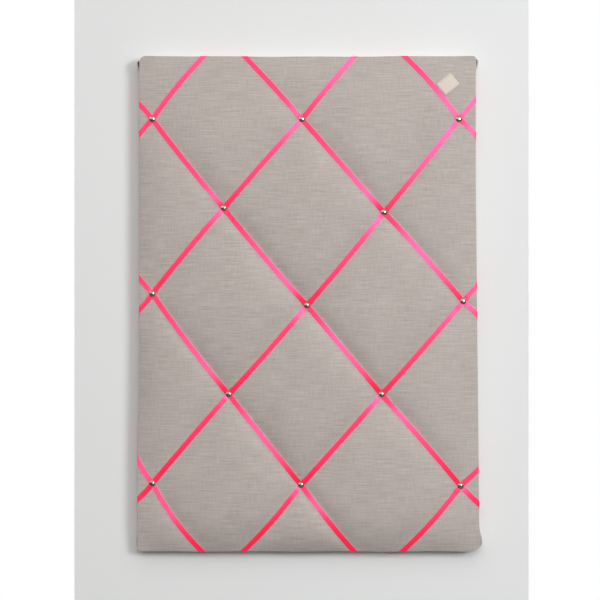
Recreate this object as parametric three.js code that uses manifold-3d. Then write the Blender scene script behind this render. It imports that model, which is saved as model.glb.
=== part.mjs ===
// French memo board: a wadded, linen-covered panel with satin ribbons laid across it and pinned by studs.
// Millimetres. X runs to the right, Z up, the front faces -Y, and the origin is the middle of the back.
import * as THREE from 'three';
import { mergeVertices } from 'three/addons/utils/BufferGeometryUtils.js';
import Module from 'manifold-3d';

const wasm = await Module();
wasm.setup();

// Finished board, measured over the linen.
const BOARD_W = 406;
const BOARD_H = 594;
const BOARD_CORNER_R = 6;
const CLEARANCE = 0.3; // left between pieces that touch

// Flat layers.
const PANEL_T = 9;
const PANEL_CORNER_R = 4;
const LINEN_T = 0.6;
const LINEN_TURN_IN = 34;
const LINING_T = 2;
const LINING_INSET = 9;
const LINING_CORNER_R = 4;

// Wadding thickness at its crowns, under the ribbons, under the studs, at the front edge and round the sides.
const WADDING_CROWN = 13;
const WADDING_UNDER_RIBBON = 9.5;
const WADDING_UNDER_STUD = 2.8;
const WADDING_AT_EDGE = 2.5;
const WADDING_ROUND_SIDES = 1.8;
const WADDING_ROLL = 30; // distance from the edge over which the front rolls away
const WADDING_FULLNESS = 0.7; // below 1 each diamond swells early and stays full

// Lattice of studs: every second place of a grid, with the drift of hand-set nails, row by row from the top.
const COLUMNS = 5;
const ROWS = 5;
const SIDE_MARGIN = 18;
const TOP_MARGIN = 78;
const STUD_DRIFT = [
  [[-1, 2], [-7, 2], [-4, 2]],
  [[-8, 5], [-1, 0]],
  [[-1, 12], [-1, -2], [1, 3]],
  [[-2, 1], [-4, 1]],
  [[-1, 4], [-8, 2], [-2, 1]],
];

// Domed upholstery nails.
const STUD_HEAD_R = 4;
const STUD_HEAD_H = 2.7;
const STUD_RIM_H = 0.5;
const STUD_SHANK_R = 0.8;
const STUD_BITE = 6.5; // depth driven into the panel
const STUD_POINT = 1.6;
const STUD_FLAT_ROUND = 1; // flat ribbon left round a head

// Ribbons. Bow is how far a run curves outwards in each 100 mm between fixings, and drift how far the two
// ends stray along the board's edge. Falling ribbons are listed from the top right, rising from the top left.
const RIBBON_W = 6;
const RIBBON_T = 0.4;
const RIBBON_TAIL = 24;
const RIBBON_TURN = 6; // length over which a tail straightens on the back
const RIBBON_SETTLE = 8; // length over which a ribbon comes down from a stud to the linen
const RIBBON_STEP = 11; // spacing of the places where a ribbon is laid on the linen
const BOW_RUN = 100;
const FALL_BOW = [3.4, 1.1, 0, 2, 4.6];
const FALL_DRIFT = [[-1, 7], [-4, 4], [-2, 2], [-2, -4], [7, -10]];
const RISE_BOW = [3.5, 1.7, 0, 0.8, 2];
const RISE_DRIFT = [[-3, 3], [-1, 1], [-2, 1], [-2, -2], [-3, -4]];

// Staples that straddle the ribbon tails.
const STAPLE_CROWN = 10;
const STAPLE_T = 0.6;
const STAPLE_W = 1.2;
const STAPLE_BITE = 5;
const STAPLE_FROM_EDGE = 15;

// Cloth label beside the first falling ribbon.
const LABEL_W = 18;
const LABEL_L = 21;
const LABEL_T = 0.4;
const LABEL_FROM_STUD = 41;

// D-ring hangers, let into windows of the lining.
const HANGER_FROM_SIDE = 75;
const HANGER_FROM_TOP = 112;
const STRAP_W = 12;
const STRAP_L = 28;
const STRAP_T = 0.8;
const STRAP_CORNER_R = 5;
const RING_WIRE_R = 1;
const RING_INNER_W = 16;
const RING_STRAIGHT = 4;
const RING_BEND_R = 2.4;
const RING_END_GAP = 0.8;
const SCREW_HEAD_R = 3;
const SCREW_HEAD_H = 1.6;
const SCREW_CROWN_R = 2.1;
const SCREW_RIM_H = 0.8;
const SCREW_SHANK_R = 1.5;
const SCREW_BITE = 6.5;
const SCREW_POINT = 1.8;
const SCREW_FROM_END = 8;
const WINDOW_GAP = 2.5;
const WINDOW_CORNER_R = 3;

// Fineness of the meshes.
const STEPS_PER_PITCH = 3;
const EDGE_BAND = 5;
const STUD_SIDES = 10;
const WIRE_SIDES = 8;
const RING_STEPS = 30;
const CORNER_STEPS = 3;
const DRILL_SIDES = 5;
const DOME_STEPS = 3;
const LOOP_STEPS = 12;
const TUFT_SAMPLES = 8;
const TOOL_OVERRUN = 1; // how far a cut starts outside the piece
const SAME_PLACE = 1e-6;

// Sizes that follow from the ones above. Heights count forwards from the panel's front.
const COLUMN_PITCH = (BOARD_W - 2 * SIDE_MARGIN) / (COLUMNS - 1);
const ROW_PITCH = (BOARD_H - 2 * TOP_MARGIN) / (ROWS - 1);
const SIDE_LAYERS = LINEN_T + CLEARANCE + WADDING_ROUND_SIDES + CLEARANCE;
const PANEL_W = BOARD_W - 2 * SIDE_LAYERS;
const PANEL_H = BOARD_H - 2 * SIDE_LAYERS;
const LINING_FRONT_Y = -LINING_T;
const STAPLE_TOP_Y = LINING_FRONT_Y - CLEARANCE;
const TAIL_OUTER_Y = STAPLE_TOP_Y - STAPLE_T - CLEARANCE;
const LINEN_BACK_Y = TAIL_OUTER_Y - RIBBON_T - CLEARANCE;
const LINEN_INNER_Y = LINEN_BACK_Y - LINEN_T;
const PANEL_BACK_Y = LINEN_INNER_Y - CLEARANCE;
const PANEL_FRONT_Y = PANEL_BACK_Y - PANEL_T;
const WADDING_TO_FACE = CLEARANCE + CLEARANCE + LINEN_T;
const RIM_HEIGHT = WADDING_AT_EDGE + WADDING_TO_FACE;
const LOOP_R = RING_WIRE_R + CLEARANCE + STRAP_T;
const RING_R = RING_INNER_W / 2 + RING_WIRE_R;

const linen = new THREE.MeshStandardMaterial({ color: 0xb6aba5, roughness: 0.9 });
const satin = new THREE.MeshStandardMaterial({ color: 0xff4f8e, roughness: 0.4 });
const nickel = new THREE.MeshStandardMaterial({ color: 0xc9c7c2, roughness: 0.15, metalness: 1 });
const fibreboard = new THREE.MeshStandardMaterial({ color: 0xb08d62, roughness: 0.8 });
const wadding = new THREE.MeshStandardMaterial({ color: 0xf4f2ec, roughness: 1 });
const felt = new THREE.MeshStandardMaterial({ color: 0x6e6863, roughness: 1 });
const cream = new THREE.MeshStandardMaterial({ color: 0xefe3d2, roughness: 0.85 });
const steel = new THREE.MeshStandardMaterial({ color: 0xb9babc, roughness: 0.3, metalness: 1 });

const board = new THREE.Group();

function addPiece(name, geometry, material) {
  const mesh = new THREE.Mesh(geometry, material);
  mesh.name = name;
  board.add(mesh);
  return mesh;
}

function meshOf(points, faces) {
  const geometry = new THREE.BufferGeometry();
  geometry.setAttribute('position', new THREE.Float32BufferAttribute(points.flat(), 3));
  geometry.setIndex(faces.flat());
  return geometry;
}

function solidOf(geometry) {
  const bare = geometry.clone();
  bare.deleteAttribute('normal');
  bare.deleteAttribute('uv');
  const merged = mergeVertices(bare);
  return new wasm.Manifold(
    new wasm.Mesh({
      numProp: 3,
      vertProperties: merged.attributes.position.array,
      triVerts: new Uint32Array(merged.index.array),
    }),
  );
}

function geometryOf(solid) {
  const { vertProperties, triVerts } = solid.getMesh();
  const geometry = new THREE.BufferGeometry();
  geometry.setAttribute('position', new THREE.BufferAttribute(vertProperties, 3));
  geometry.setIndex(new THREE.BufferAttribute(triVerts, 1));
  return geometry;
}

function cut(geometry, tools) {
  return geometryOf(tools.reduce((body, tool) => body.subtract(solidOf(tool)), solidOf(geometry)));
}

// A round tool along Y whose flats stand the clearance off a pin of this radius.
function drill(x, z, radius, fromY, toY) {
  const toolR = (radius + CLEARANCE) / Math.cos(Math.PI / DRILL_SIDES);
  const tool = new THREE.CylinderGeometry(toolR, toolR, Math.abs(toY - fromY), DRILL_SIDES);
  return tool.translate(x, (fromY + toY) / 2, z);
}

function roundedRect(width, height, radius, centreZ = 0) {
  const shape = new THREE.Shape();
  const right = width / 2 - radius;
  const top = centreZ + height / 2 - radius;
  const bottom = centreZ - height / 2 + radius;
  shape.moveTo(right + radius, top);
  shape.absarc(right, top, radius, 0, Math.PI / 2);
  shape.absarc(-right, top, radius, Math.PI / 2, Math.PI);
  shape.absarc(-right, bottom, radius, Math.PI, Math.PI * 1.5);
  shape.absarc(right, bottom, radius, Math.PI * 1.5, Math.PI * 2);
  return shape;
}

// A flat sheet whose outline is drawn in X and Z, between two depths.
function sheet(outline, frontY, backY) {
  const options = { depth: backY - frontY, bevelEnabled: false, curveSegments: CORNER_STEPS };
  const geometry = new THREE.ExtrudeGeometry(outline, options);
  return geometry.rotateX(Math.PI / 2).translate(0, backY, 0);
}

// Studs, by column and row, with their drift.
const isStud = (i, j) => i >= 0 && j >= 0 && i < COLUMNS && j < ROWS && (i + j) % 2 === 0;
const studDrift = (i, j) => STUD_DRIFT[j]?.[(i - (j % 2)) / 2] ?? [0, 0];

function nodeDrift(i, j) {
  if (isStud(i, j)) return studDrift(i, j);
  const around = [[i - 1, j], [i + 1, j], [i, j - 1], [i, j + 1]].filter(([a, b]) => isStud(a, b));
  const share = (axis) => around.reduce((sum, [a, b]) => sum + studDrift(a, b)[axis], 0) / around.length;
  return [share(0), share(1)];
}

const columnOf = (x) => (x + BOARD_W / 2 - SIDE_MARGIN) / COLUMN_PITCH;
const rowOf = (z) => (BOARD_H / 2 - TOP_MARGIN - z) / ROW_PITCH;
const fallsIn = (i, j) => (i + j) % 2 === 0; // the ribbon across this cell falls to the right

// Drift between the nodes of a cell, straight on each side of the ribbon that crosses it.
function driftAt(u, v) {
  const i = THREE.MathUtils.clamp(Math.floor(u), 0, COLUMNS - 2);
  const j = THREE.MathUtils.clamp(Math.floor(v), 0, ROWS - 2);
  const s = THREE.MathUtils.clamp(u - i, 0, 1);
  const t = THREE.MathUtils.clamp(v - j, 0, 1);
  const corners = [nodeDrift(i, j), nodeDrift(i + 1, j), nodeDrift(i, j + 1), nodeDrift(i + 1, j + 1)];
  let weights;
  if (fallsIn(i, j)) weights = s > t ? [1 - s, s - t, 0, t] : [1 - t, 0, t - s, s];
  else weights = s + t < 1 ? [1 - s - t, s, t, 0] : [0, 1 - t, 1 - s, s + t - 1];
  return [0, 1].map((axis) => corners.reduce((sum, corner, k) => sum + weights[k] * corner[axis], 0));
}

function drifted(x, z) {
  const [dx, dz] = driftAt(columnOf(x), rowOf(z));
  const fadeX = Math.min(1, (BOARD_W / 2 - Math.abs(x)) / SIDE_MARGIN);
  const fadeZ = Math.min(1, (BOARD_H / 2 - Math.abs(z)) / TOP_MARGIN);
  return [x + dx * fadeX, z + dz * fadeZ];
}

// Height of the linen: tufted at the studs, drawn down by the ribbons, crowned between, rolled at the edge.
function linenHeight(x, z) {
  const swell = (t) => Math.abs(Math.sin(Math.PI * t)) ** WADDING_FULLNESS;
  const rise = swell((columnOf(x) + rowOf(z)) / 2);
  const fall = swell((columnOf(x) - rowOf(z)) / 2);
  const onRibbon = (WADDING_UNDER_RIBBON - WADDING_UNDER_STUD) * (rise + fall - rise * fall);
  const puffed = WADDING_UNDER_STUD + onRibbon + (WADDING_CROWN - WADDING_UNDER_RIBBON) * rise * fall;
  const edge = Math.min(BOARD_W / 2 - Math.abs(x), BOARD_H / 2 - Math.abs(z));
  const inward = Math.min(1, edge / WADDING_ROLL);
  const roll = Math.sqrt(1 - (1 - inward) ** 2);
  return WADDING_AT_EDGE + (puffed - WADDING_AT_EDGE) * roll + WADDING_TO_FACE;
}

function gridLines(size, margin, pitch, count) {
  const step = pitch / STEPS_PER_PITCH;
  const outside = Math.max(0, Math.floor((margin - 2 * EDGE_BAND) / step));
  const first = margin - size / 2 - outside * step;
  const lines = [-size / 2, EDGE_BAND - size / 2];
  for (let k = 0; k <= (count - 1) * STEPS_PER_PITCH + 2 * outside; k++) lines.push(first + k * step);
  return [...lines, size / 2 - EDGE_BAND, size / 2];
}

// The linen's face as a grid that creases along the ribbons.
const gridX = gridLines(BOARD_W, SIDE_MARGIN, COLUMN_PITCH, COLUMNS);
const gridZ = gridLines(BOARD_H, TOP_MARGIN, ROW_PITCH, ROWS);
const gridIndex = (column, row) => row * gridX.length + column;
const facePoints = gridZ.flatMap((z) => gridX.map((x) => [...drifted(x, z), linenHeight(x, z)]));
const faceTriangles = [];
for (let row = 0; row + 1 < gridZ.length; row++)
  for (let column = 0; column + 1 < gridX.length; column++) {
    const i = Math.floor(columnOf((gridX[column] + gridX[column + 1]) / 2));
    const j = Math.floor(rowOf((gridZ[row] + gridZ[row + 1]) / 2));
    const low = [gridIndex(column, row), gridIndex(column + 1, row)];
    const high = [gridIndex(column, row + 1), gridIndex(column + 1, row + 1)];
    if (fallsIn(i, j)) faceTriangles.push([low[0], low[1], high[0]], [low[1], high[1], high[0]]);
    else faceTriangles.push([low[0], low[1], high[1]], [low[0], high[1], high[0]]);
  }

// Border of that grid, anticlockwise from the front.
const border = [];
for (let column = 0; column < gridX.length; column++) border.push(gridIndex(column, 0));
for (let row = 1; row < gridZ.length; row++) border.push(gridIndex(gridX.length - 1, row));
for (let column = gridX.length - 2; column >= 0; column--) border.push(gridIndex(column, gridZ.length - 1));
for (let row = gridZ.length - 2; row > 0; row--) border.push(gridIndex(0, row));

// The flat back needs only the border places next to the corners, and each other one goes to its nearest.
const nearCorner = ([x, z]) =>
  Math.abs(x) > BOARD_W / 2 - 2 * EDGE_BAND && Math.abs(z) > BOARD_H / 2 - 2 * EDGE_BAND;
const backPlaces = border.filter((index) => nearCorner(facePoints[index]));
const backOf = border.map((index) => {
  const gaps = backPlaces.map((place) =>
    Math.hypot(facePoints[index][0] - facePoints[place][0], facePoints[index][1] - facePoints[place][1]),
  );
  return gaps.indexOf(Math.min(...gaps));
});

// A block with the cushioned front, this far inside the linen's outer face.
function cushionBlock(inset, backY) {
  const halfW = BOARD_W / 2 - inset;
  const halfH = BOARD_H / 2 - inset;
  const pull = BOARD_CORNER_R * (1 - Math.SQRT1_2);
  const points = facePoints.map(([x, z, height]) => {
    const atCorner = Math.abs(x) >= halfW && Math.abs(z) >= halfH ? pull : 0;
    const placedX = THREE.MathUtils.clamp(x, atCorner - halfW, halfW - atCorner);
    const placedZ = THREE.MathUtils.clamp(z, atCorner - halfH, halfH - atCorner);
    return [placedX, PANEL_FRONT_Y - height + inset, placedZ];
  });
  const faces = [...faceTriangles];
  const backStart = points.length;
  backPlaces.forEach((index) => points.push([points[index][0], backY, points[index][2]]));
  const middle = points.length;
  points.push([0, backY, 0]);
  border.forEach((front, k) => {
    const next = (k + 1) % border.length;
    const [back, nextBack] = [backStart + backOf[k], backStart + backOf[next]];
    faces.push([front, nextBack, border[next]]);
    if (back === nextBack) return;
    faces.push([front, back, nextBack], [middle, nextBack, back]);
  });
  return meshOf(points, faces);
}

// Height of the faceted linen under a place on the front.
function faceHeight(x, z) {
  for (const triangle of faceTriangles) {
    const [a, b, c] = triangle.map((index) => facePoints[index]);
    const area = (b[0] - a[0]) * (c[1] - a[1]) - (c[0] - a[0]) * (b[1] - a[1]);
    const inB = ((x - a[0]) * (c[1] - a[1]) - (c[0] - a[0]) * (z - a[1])) / area;
    const inC = ((b[0] - a[0]) * (z - a[1]) - (x - a[0]) * (b[1] - a[1])) / area;
    if (inB >= -SAME_PLACE && inC >= -SAME_PLACE && inB + inC <= 1 + SAME_PLACE) {
      return a[2] + inB * (b[2] - a[2]) + inC * (c[2] - a[2]);
    }
  }
  return RIM_HEIGHT;
}

// Stud places, with the levels at which the two ribbons and the head are stacked on the tuft.
const CROSSING = STUD_HEAD_R + STUD_FLAT_ROUND;
const SETTLE = CROSSING + RIBBON_SETTLE;
const studs = [];
for (let j = 0; j < ROWS; j++)
  for (let i = 0; i < COLUMNS; i++) {
    if (!isStud(i, j)) continue;
    const x = SIDE_MARGIN - BOARD_W / 2 + i * COLUMN_PITCH + studDrift(i, j)[0];
    const z = BOARD_H / 2 - TOP_MARGIN - j * ROW_PITCH + studDrift(i, j)[1];
    const reach = Math.hypot(CROSSING, RIBBON_W / 2);
    const around = [...Array(TUFT_SAMPLES).keys()].map((k) => (2 * Math.PI * k) / TUFT_SAMPLES);
    const tuft = Math.max(
      ...around.map((angle) => faceHeight(x + reach * Math.cos(angle), z + reach * Math.sin(angle))),
    );
    const fallLevel = tuft + CLEARANCE;
    const riseLevel = fallLevel + RIBBON_T + CLEARANCE;
    studs.push({ i, j, x, z, fallLevel, riseLevel, seat: riseLevel + RIBBON_T + CLEARANCE });
  }

const panelOutline = (grow) => roundedRect(PANEL_W + 2 * grow, PANEL_H + 2 * grow, PANEL_CORNER_R + grow);
const studBores = (pinned, fromY) =>
  pinned.map(({ x, z, seat }) => drill(x, z, STUD_SHANK_R, fromY, PANEL_FRONT_Y - seat - TOOL_OVERRUN));

// Where a ribbon leaves the front, going on from its last stud at the lattice's slope.
function exitFrom(stud, signX, signZ, drift) {
  const toSide = (BOARD_W / 2 - signX * stud.x) / COLUMN_PITCH;
  const toEnd = (BOARD_H / 2 - signZ * stud.z) / ROW_PITCH;
  if (toSide < toEnd) {
    const z = stud.z + signZ * toSide * ROW_PITCH + drift;
    return { place: new THREE.Vector2((signX * BOARD_W) / 2, z), outward: new THREE.Vector2(signX, 0) };
  }
  const x = stud.x + signX * toEnd * COLUMN_PITCH + drift;
  return { place: new THREE.Vector2(x, (signZ * BOARD_H) / 2), outward: new THREE.Vector2(0, signZ) };
}

// Each set of ribbons follows one diagonal of the lattice, and each ribbon has its studs, exits and bow.
function planRibbons(lineOf, order, signX, bows, drifts) {
  return order
    .map((line) => studs.filter(({ i, j }) => lineOf(i, j) === line))
    .filter((pinned) => pinned.length)
    .map((pinned, k) => {
      const [startDrift, endDrift] = drifts[k] ?? [0, 0];
      const start = exitFrom(pinned[0], -signX, 1, startDrift);
      const end = exitFrom(pinned[pinned.length - 1], signX, -1, endDrift);
      return { pinned, start, end, bow: bows[k] ?? 0 };
    });
}
const diagonals = [...Array(COLUMNS + ROWS - 1).keys()];
const fallOrder = diagonals.map((k) => COLUMNS - 1 - k);
const fallPlans = planRibbons((i, j) => i - j, fallOrder, 1, FALL_BOW, FALL_DRIFT);
const risePlans = planRibbons((i, j) => i + j, diagonals, -1, RISE_BOW, RISE_DRIFT);
const exits = [...fallPlans, ...risePlans].flatMap(({ start, end }) => [start, end]);

// How far a tail can lean along the edge before its staple meets the next one.
function tailRoom({ place, outward }, edgeLine, lean) {
  const ahead = exits
    .filter((other) => other.outward.equals(outward))
    .map((other) => other.place.clone().sub(place).dot(edgeLine) * lean)
    .filter((distance) => distance > 0);
  return (Math.min(...ahead) - STAPLE_CROWN) / 2 - CLEARANCE;
}

// A run between two fixings, bowed away from the board's middle, as place and direction at a length.
function bowedRun(from, to, bow) {
  const along = to.clone().sub(from);
  const length = along.length();
  along.normalize();
  const outwards = new THREE.Vector2(-along.y, along.x);
  if (outwards.dot(from.clone().add(to)) < 0) outwards.negate();
  const crest = (bow * length) / BOW_RUN;
  return {
    length,
    at: (distance) => {
      const t = distance / length;
      const place = from.clone().addScaledVector(along, distance);
      place.addScaledVector(outwards, 4 * crest * t * (1 - t));
      const direction = along.clone().addScaledVector(outwards, (4 * crest * (1 - 2 * t)) / length);
      return { place, direction: direction.normalize() };
    },
  };
}

// Cross-section of a ribbon on the front: its two edge points on the linen, or at a given level.
function frontStation({ place, direction }, width, sectionLine = null, level = null) {
  const square = new THREE.Vector2(-direction.y, direction.x);
  const line = sectionLine ?? square;
  const half = width / 2 / Math.abs(line.dot(square));
  const sense = Math.sign(line.dot(square));
  const heightAt = (point) =>
    Math.max(
      ...[-0.5, -0.25, 0, 0.25, 0.5].map((share) => {
        const { x, y } = point.clone().addScaledVector(direction, share * RIBBON_STEP);
        return faceHeight(x, y);
      }),
    );
  const ends = [-half, half].map((offset) => place.clone().addScaledVector(line, offset * sense));
  const heights = ends.map((end) => level ?? heightAt(end) + CLEARANCE);
  const ridge = level ?? heightAt(place) + CLEARANCE;
  const proud = Math.max(0, ridge - (heights[0] + heights[1]) / 2);
  const out = new THREE.Vector3(0, -1, 0);
  const [left, right] = ends.map(
    (end, k) => new THREE.Vector3(end.x, PANEL_FRONT_Y - heights[k] - proud, end.y),
  );
  return { left, right, out };
}

// A closed strip through its stations, thickened along each station's out direction.
function strip(stations, thickness) {
  const points = stations.flatMap(({ left, right, out }) =>
    [left, right, right.clone().addScaledVector(out, thickness), left.clone().addScaledVector(out, thickness)]
      .map((point) => point.toArray()),
  );
  const last = points.length - 4;
  const faces = [[0, 1, 2], [0, 2, 3], [last, last + 2, last + 1], [last, last + 3, last + 2]];
  for (let start = 0; start < last; start += 4)
    for (let k = 0; k < 4; k++) {
      const a = start + k;
      const b = start + ((k + 1) % 4);
      faces.push([a, a + 4, b + 4], [a, b + 4, b]);
    }
  const geometry = meshOf(points, faces);
  if (solidOf(geometry).volume() < 0) faces.forEach((face) => face.reverse());
  return meshOf(points, faces);
}

// Evenly spaced lengths along a run.
function spacedLengths(from, to) {
  if (to < from) return [];
  const steps = Math.max(1, Math.ceil((to - from) / RIBBON_STEP));
  return [...Array(steps + 1).keys()].map((k) => from + ((to - from) * k) / steps);
}

// Stations from the last stud over the edge and round to the tail on the back.
function runOut(stud, exit, bow, level) {
  const { place: rim, outward } = exit;
  const from = new THREE.Vector2(stud.x, stud.z);
  const run = bowedRun(from, rim, bow);
  const edgeLine = new THREE.Vector2(-outward.y, outward.x);
  const inset = rim.clone().sub(from).dot(outward);
  const band = run.at(run.length * (1 - EDGE_BAND / inset));
  band.place.addScaledVector(outward, inset - EDGE_BAND - band.place.clone().sub(from).dot(outward));
  const lastFront = run.length * (1 - EDGE_BAND / inset) - RIBBON_W;
  const stations = [frontStation(run.at(CROSSING), RIBBON_W, null, level)];
  spacedLengths(SETTLE, lastFront).forEach((length) => stations.push(frontStation(run.at(length), RIBBON_W)));
  stations.push(frontStation(band, RIBBON_W, edgeLine));

  // Over the rim the section lies along the edge, and the ribbon keeps its slant down the side.
  const leaving = run.at(run.length).direction;
  const square = Math.abs(leaving.dot(outward));
  const slant = leaving.dot(edgeLine) / square;
  const rimY = PANEL_FRONT_Y - RIM_HEIGHT;
  const lean = Math.sign(slant);
  const shift = lean * Math.min(Math.abs(slant) * (LINEN_BACK_Y - rimY), tailRoom(exit, edgeLine, lean));
  const wide = RIBBON_W / 2 / square;
  const sense = Math.sign(edgeLine.dot(new THREE.Vector2(-leaving.y, leaving.x)));
  const wrapped = (y, along, inwards, half, outY, outSide) => {
    const centre = rim.clone().addScaledVector(edgeLine, along).addScaledVector(outward, -inwards);
    const [left, right] = [-half, half].map((offset) => {
      const end = centre.clone().addScaledVector(edgeLine, offset * sense);
      return new THREE.Vector3(end.x, y, end.y);
    });
    const out = new THREE.Vector3(outward.x * outSide, outY, outward.y * outSide);
    left.addScaledVector(out, CLEARANCE);
    right.addScaledVector(out, CLEARANCE);
    return { left, right, out };
  };
  stations.push(wrapped(rimY, 0, 0, wide, -1, 1));
  stations.push(wrapped(LINEN_BACK_Y, shift, 0, wide, 1, 1));
  stations.push(wrapped(LINEN_BACK_Y, shift, RIBBON_TURN, RIBBON_W / 2, 1, 0));
  stations.push(wrapped(LINEN_BACK_Y, shift, RIBBON_TAIL, RIBBON_W / 2, 1, 0));
  const staple = rim.clone().addScaledVector(edgeLine, shift).addScaledVector(outward, -STAPLE_FROM_EDGE);
  return { stations, staple: { place: staple, turned: outward.x !== 0 }, run };
}

// A whole ribbon: its start run back to front, its studs with the runs between them, and its end run.
function ribbon(plan, level) {
  const { pinned, bow } = plan;
  const [first, last] = [pinned[0], pinned[pinned.length - 1]];
  const start = runOut(first, plan.start, bow, first[level]);
  const end = runOut(last, plan.end, bow, last[level]);
  const turnedRound = ({ left, right, out }) => ({ left: right, right: left, out });
  const stations = start.stations.map(turnedRound).reverse();
  pinned.forEach((stud, k) => {
    const next = pinned[k + 1];
    if (!next) return;
    const run = bowedRun(new THREE.Vector2(stud.x, stud.z), new THREE.Vector2(next.x, next.z), bow);
    stations.push(frontStation(run.at(CROSSING), RIBBON_W, null, stud[level]));
    spacedLengths(SETTLE, run.length - SETTLE).forEach((length) =>
      stations.push(frontStation(run.at(length), RIBBON_W)),
    );
    stations.push(frontStation(run.at(run.length - CROSSING), RIBBON_W, null, next[level]));
  });
  stations.push(...end.stations);
  const geometry = cut(strip(stations, RIBBON_T), studBores(pinned, PANEL_FRONT_Y));
  return { geometry, staples: [start.staple, end.staple], start };
}

const falling = fallPlans.map((plan) => ribbon(plan, 'fallLevel'));
const rising = risePlans.map((plan) => ribbon(plan, 'riseLevel'));
falling.forEach(({ geometry }, k) => addPiece(`ribbon_fall_${k + 1}`, geometry, satin));
rising.forEach(({ geometry }, k) => addPiece(`ribbon_rise_${k + 1}`, geometry, satin));

// Staples, one over each tail, with the places of their legs.
const staples = [...falling, ...rising].flatMap((piece) => piece.staples);
const legOffset = (STAPLE_CROWN - STAPLE_T) / 2;
const legs = staples.flatMap(({ place, turned }) =>
  [-legOffset, legOffset].map((offset) => ({
    x: place.x + (turned ? 0 : offset),
    z: place.y + (turned ? offset : 0),
    turned,
  })),
);
const legY = PANEL_BACK_Y - STAPLE_BITE;

function stapleGeometry() {
  const outer = STAPLE_CROWN / 2;
  const inner = outer - STAPLE_T;
  const crownY = STAPLE_TOP_Y - STAPLE_T;
  const outline = new THREE.Shape([
    new THREE.Vector2(-outer, legY),
    new THREE.Vector2(-inner, legY),
    new THREE.Vector2(-inner, crownY),
    new THREE.Vector2(inner, crownY),
    new THREE.Vector2(inner, legY),
    new THREE.Vector2(outer, legY),
    new THREE.Vector2(outer, STAPLE_TOP_Y),
    new THREE.Vector2(-outer, STAPLE_TOP_Y),
  ]);
  const geometry = new THREE.ExtrudeGeometry(outline, { depth: STAPLE_W, bevelEnabled: false });
  return geometry.translate(0, 0, -STAPLE_W / 2);
}

staples.forEach(({ place, turned }, k) => {
  const mesh = addPiece(`ribbon_staple_${k + 1}`, stapleGeometry(), steel);
  mesh.position.set(place.x, 0, place.y);
  mesh.rotation.y = turned ? Math.PI / 2 : 0;
});

// Tools that clear the legs of every staple, each leg alone or both in one slit.
function legSlots(fromY, toY) {
  return legs.map(({ x, z, turned }) => slot(x, z, turned, STAPLE_T, fromY, toY));
}
function legSlits(fromY, toY) {
  return staples.map(({ place, turned }) => slot(place.x, place.y, turned, STAPLE_CROWN, fromY, toY));
}
function slot(x, z, turned, length, fromY, toY) {
  const long = length + 2 * CLEARANCE;
  const wide = STAPLE_W + 2 * CLEARANCE;
  const tool = new THREE.BoxGeometry(turned ? wide : long, toY - fromY, turned ? long : wide);
  return tool.translate(x, (fromY + toY) / 2, z);
}

// Hangers: places first, because the panel and the lining are cut for them.
const hangerX = BOARD_W / 2 - HANGER_FROM_SIDE;
const hangerZ = BOARD_H / 2 - HANGER_FROM_TOP;
const screwZ = hangerZ - STRAP_L + SCREW_FROM_END;
const strapBackY = PANEL_BACK_Y + CLEARANCE + 2 * STRAP_T;
const ringY = PANEL_BACK_Y + CLEARANCE + LOOP_R;
const hangers = { left: -hangerX, right: hangerX };

// Core panel, bored for the nails, the staples and the screws.
const panelTools = [
  ...studBores(studs, PANEL_FRONT_Y + STUD_BITE + CLEARANCE),
  ...legSlots(legY - CLEARANCE, PANEL_BACK_Y + TOOL_OVERRUN),
  ...Object.values(hangers).map((x) =>
    drill(x, screwZ, SCREW_SHANK_R, PANEL_BACK_Y - SCREW_BITE - CLEARANCE, PANEL_BACK_Y + TOOL_OVERRUN),
  ),
];
addPiece('core_panel', cut(sheet(panelOutline(0), PANEL_FRONT_Y, PANEL_BACK_Y), panelTools), fibreboard);

// Wadding, laid on the front and rolled over the panel's edges.
const waddingBlock = cushionBlock(LINEN_T + CLEARANCE, PANEL_BACK_Y);
const panelRoom = sheet(panelOutline(CLEARANCE), PANEL_FRONT_Y - CLEARANCE, PANEL_BACK_Y + TOOL_OVERRUN);
addPiece('wadding_pad', cut(waddingBlock, [panelRoom, ...studBores(studs, PANEL_FRONT_Y)]), wadding);

// Linen, drawn over the wadding and turned in on the back.
const hemFromY = LINEN_INNER_Y - TOOL_OVERRUN;
const hemToY = LINEN_BACK_Y + TOOL_OVERRUN;
const hemW = BOARD_W - 2 * LINEN_TURN_IN;
const hemH = BOARD_H - 2 * LINEN_TURN_IN;
const hemOpening = new THREE.BoxGeometry(hemW, hemToY - hemFromY, hemH);
hemOpening.translate(0, (hemFromY + hemToY) / 2, 0);
const linenTools = [
  cushionBlock(LINEN_T, LINEN_INNER_Y),
  hemOpening,
  ...studBores(studs, PANEL_FRONT_Y),
  ...legSlits(hemFromY, hemToY),
];
addPiece('linen_cover', cut(cushionBlock(0, LINEN_BACK_Y), linenTools), linen);

// Studs.
function studGeometry(seat) {
  const sphereR = (STUD_HEAD_R ** 2 + (STUD_HEAD_H - STUD_RIM_H) ** 2) / (2 * (STUD_HEAD_H - STUD_RIM_H));
  const sweep = Math.asin(STUD_HEAD_R / sphereR);
  const centreY = sphereR - STUD_HEAD_H;
  const tipY = seat + STUD_BITE;
  const dome = [...Array(DOME_STEPS + 1).keys()].map((k) => {
    const angle = (sweep * k) / DOME_STEPS;
    return new THREE.Vector2(sphereR * Math.sin(angle), centreY - sphereR * Math.cos(angle));
  });
  const profile = [
    ...dome,
    new THREE.Vector2(STUD_HEAD_R, 0),
    new THREE.Vector2(STUD_SHANK_R, 0),
    new THREE.Vector2(STUD_SHANK_R, tipY - STUD_POINT),
    new THREE.Vector2(0, tipY),
  ];
  return new THREE.LatheGeometry(profile, STUD_SIDES);
}
studs.forEach(({ x, z, seat }, k) => {
  addPiece(`stud_${k + 1}`, studGeometry(seat), nickel).position.set(x, PANEL_FRONT_Y - seat, z);
});

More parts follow.
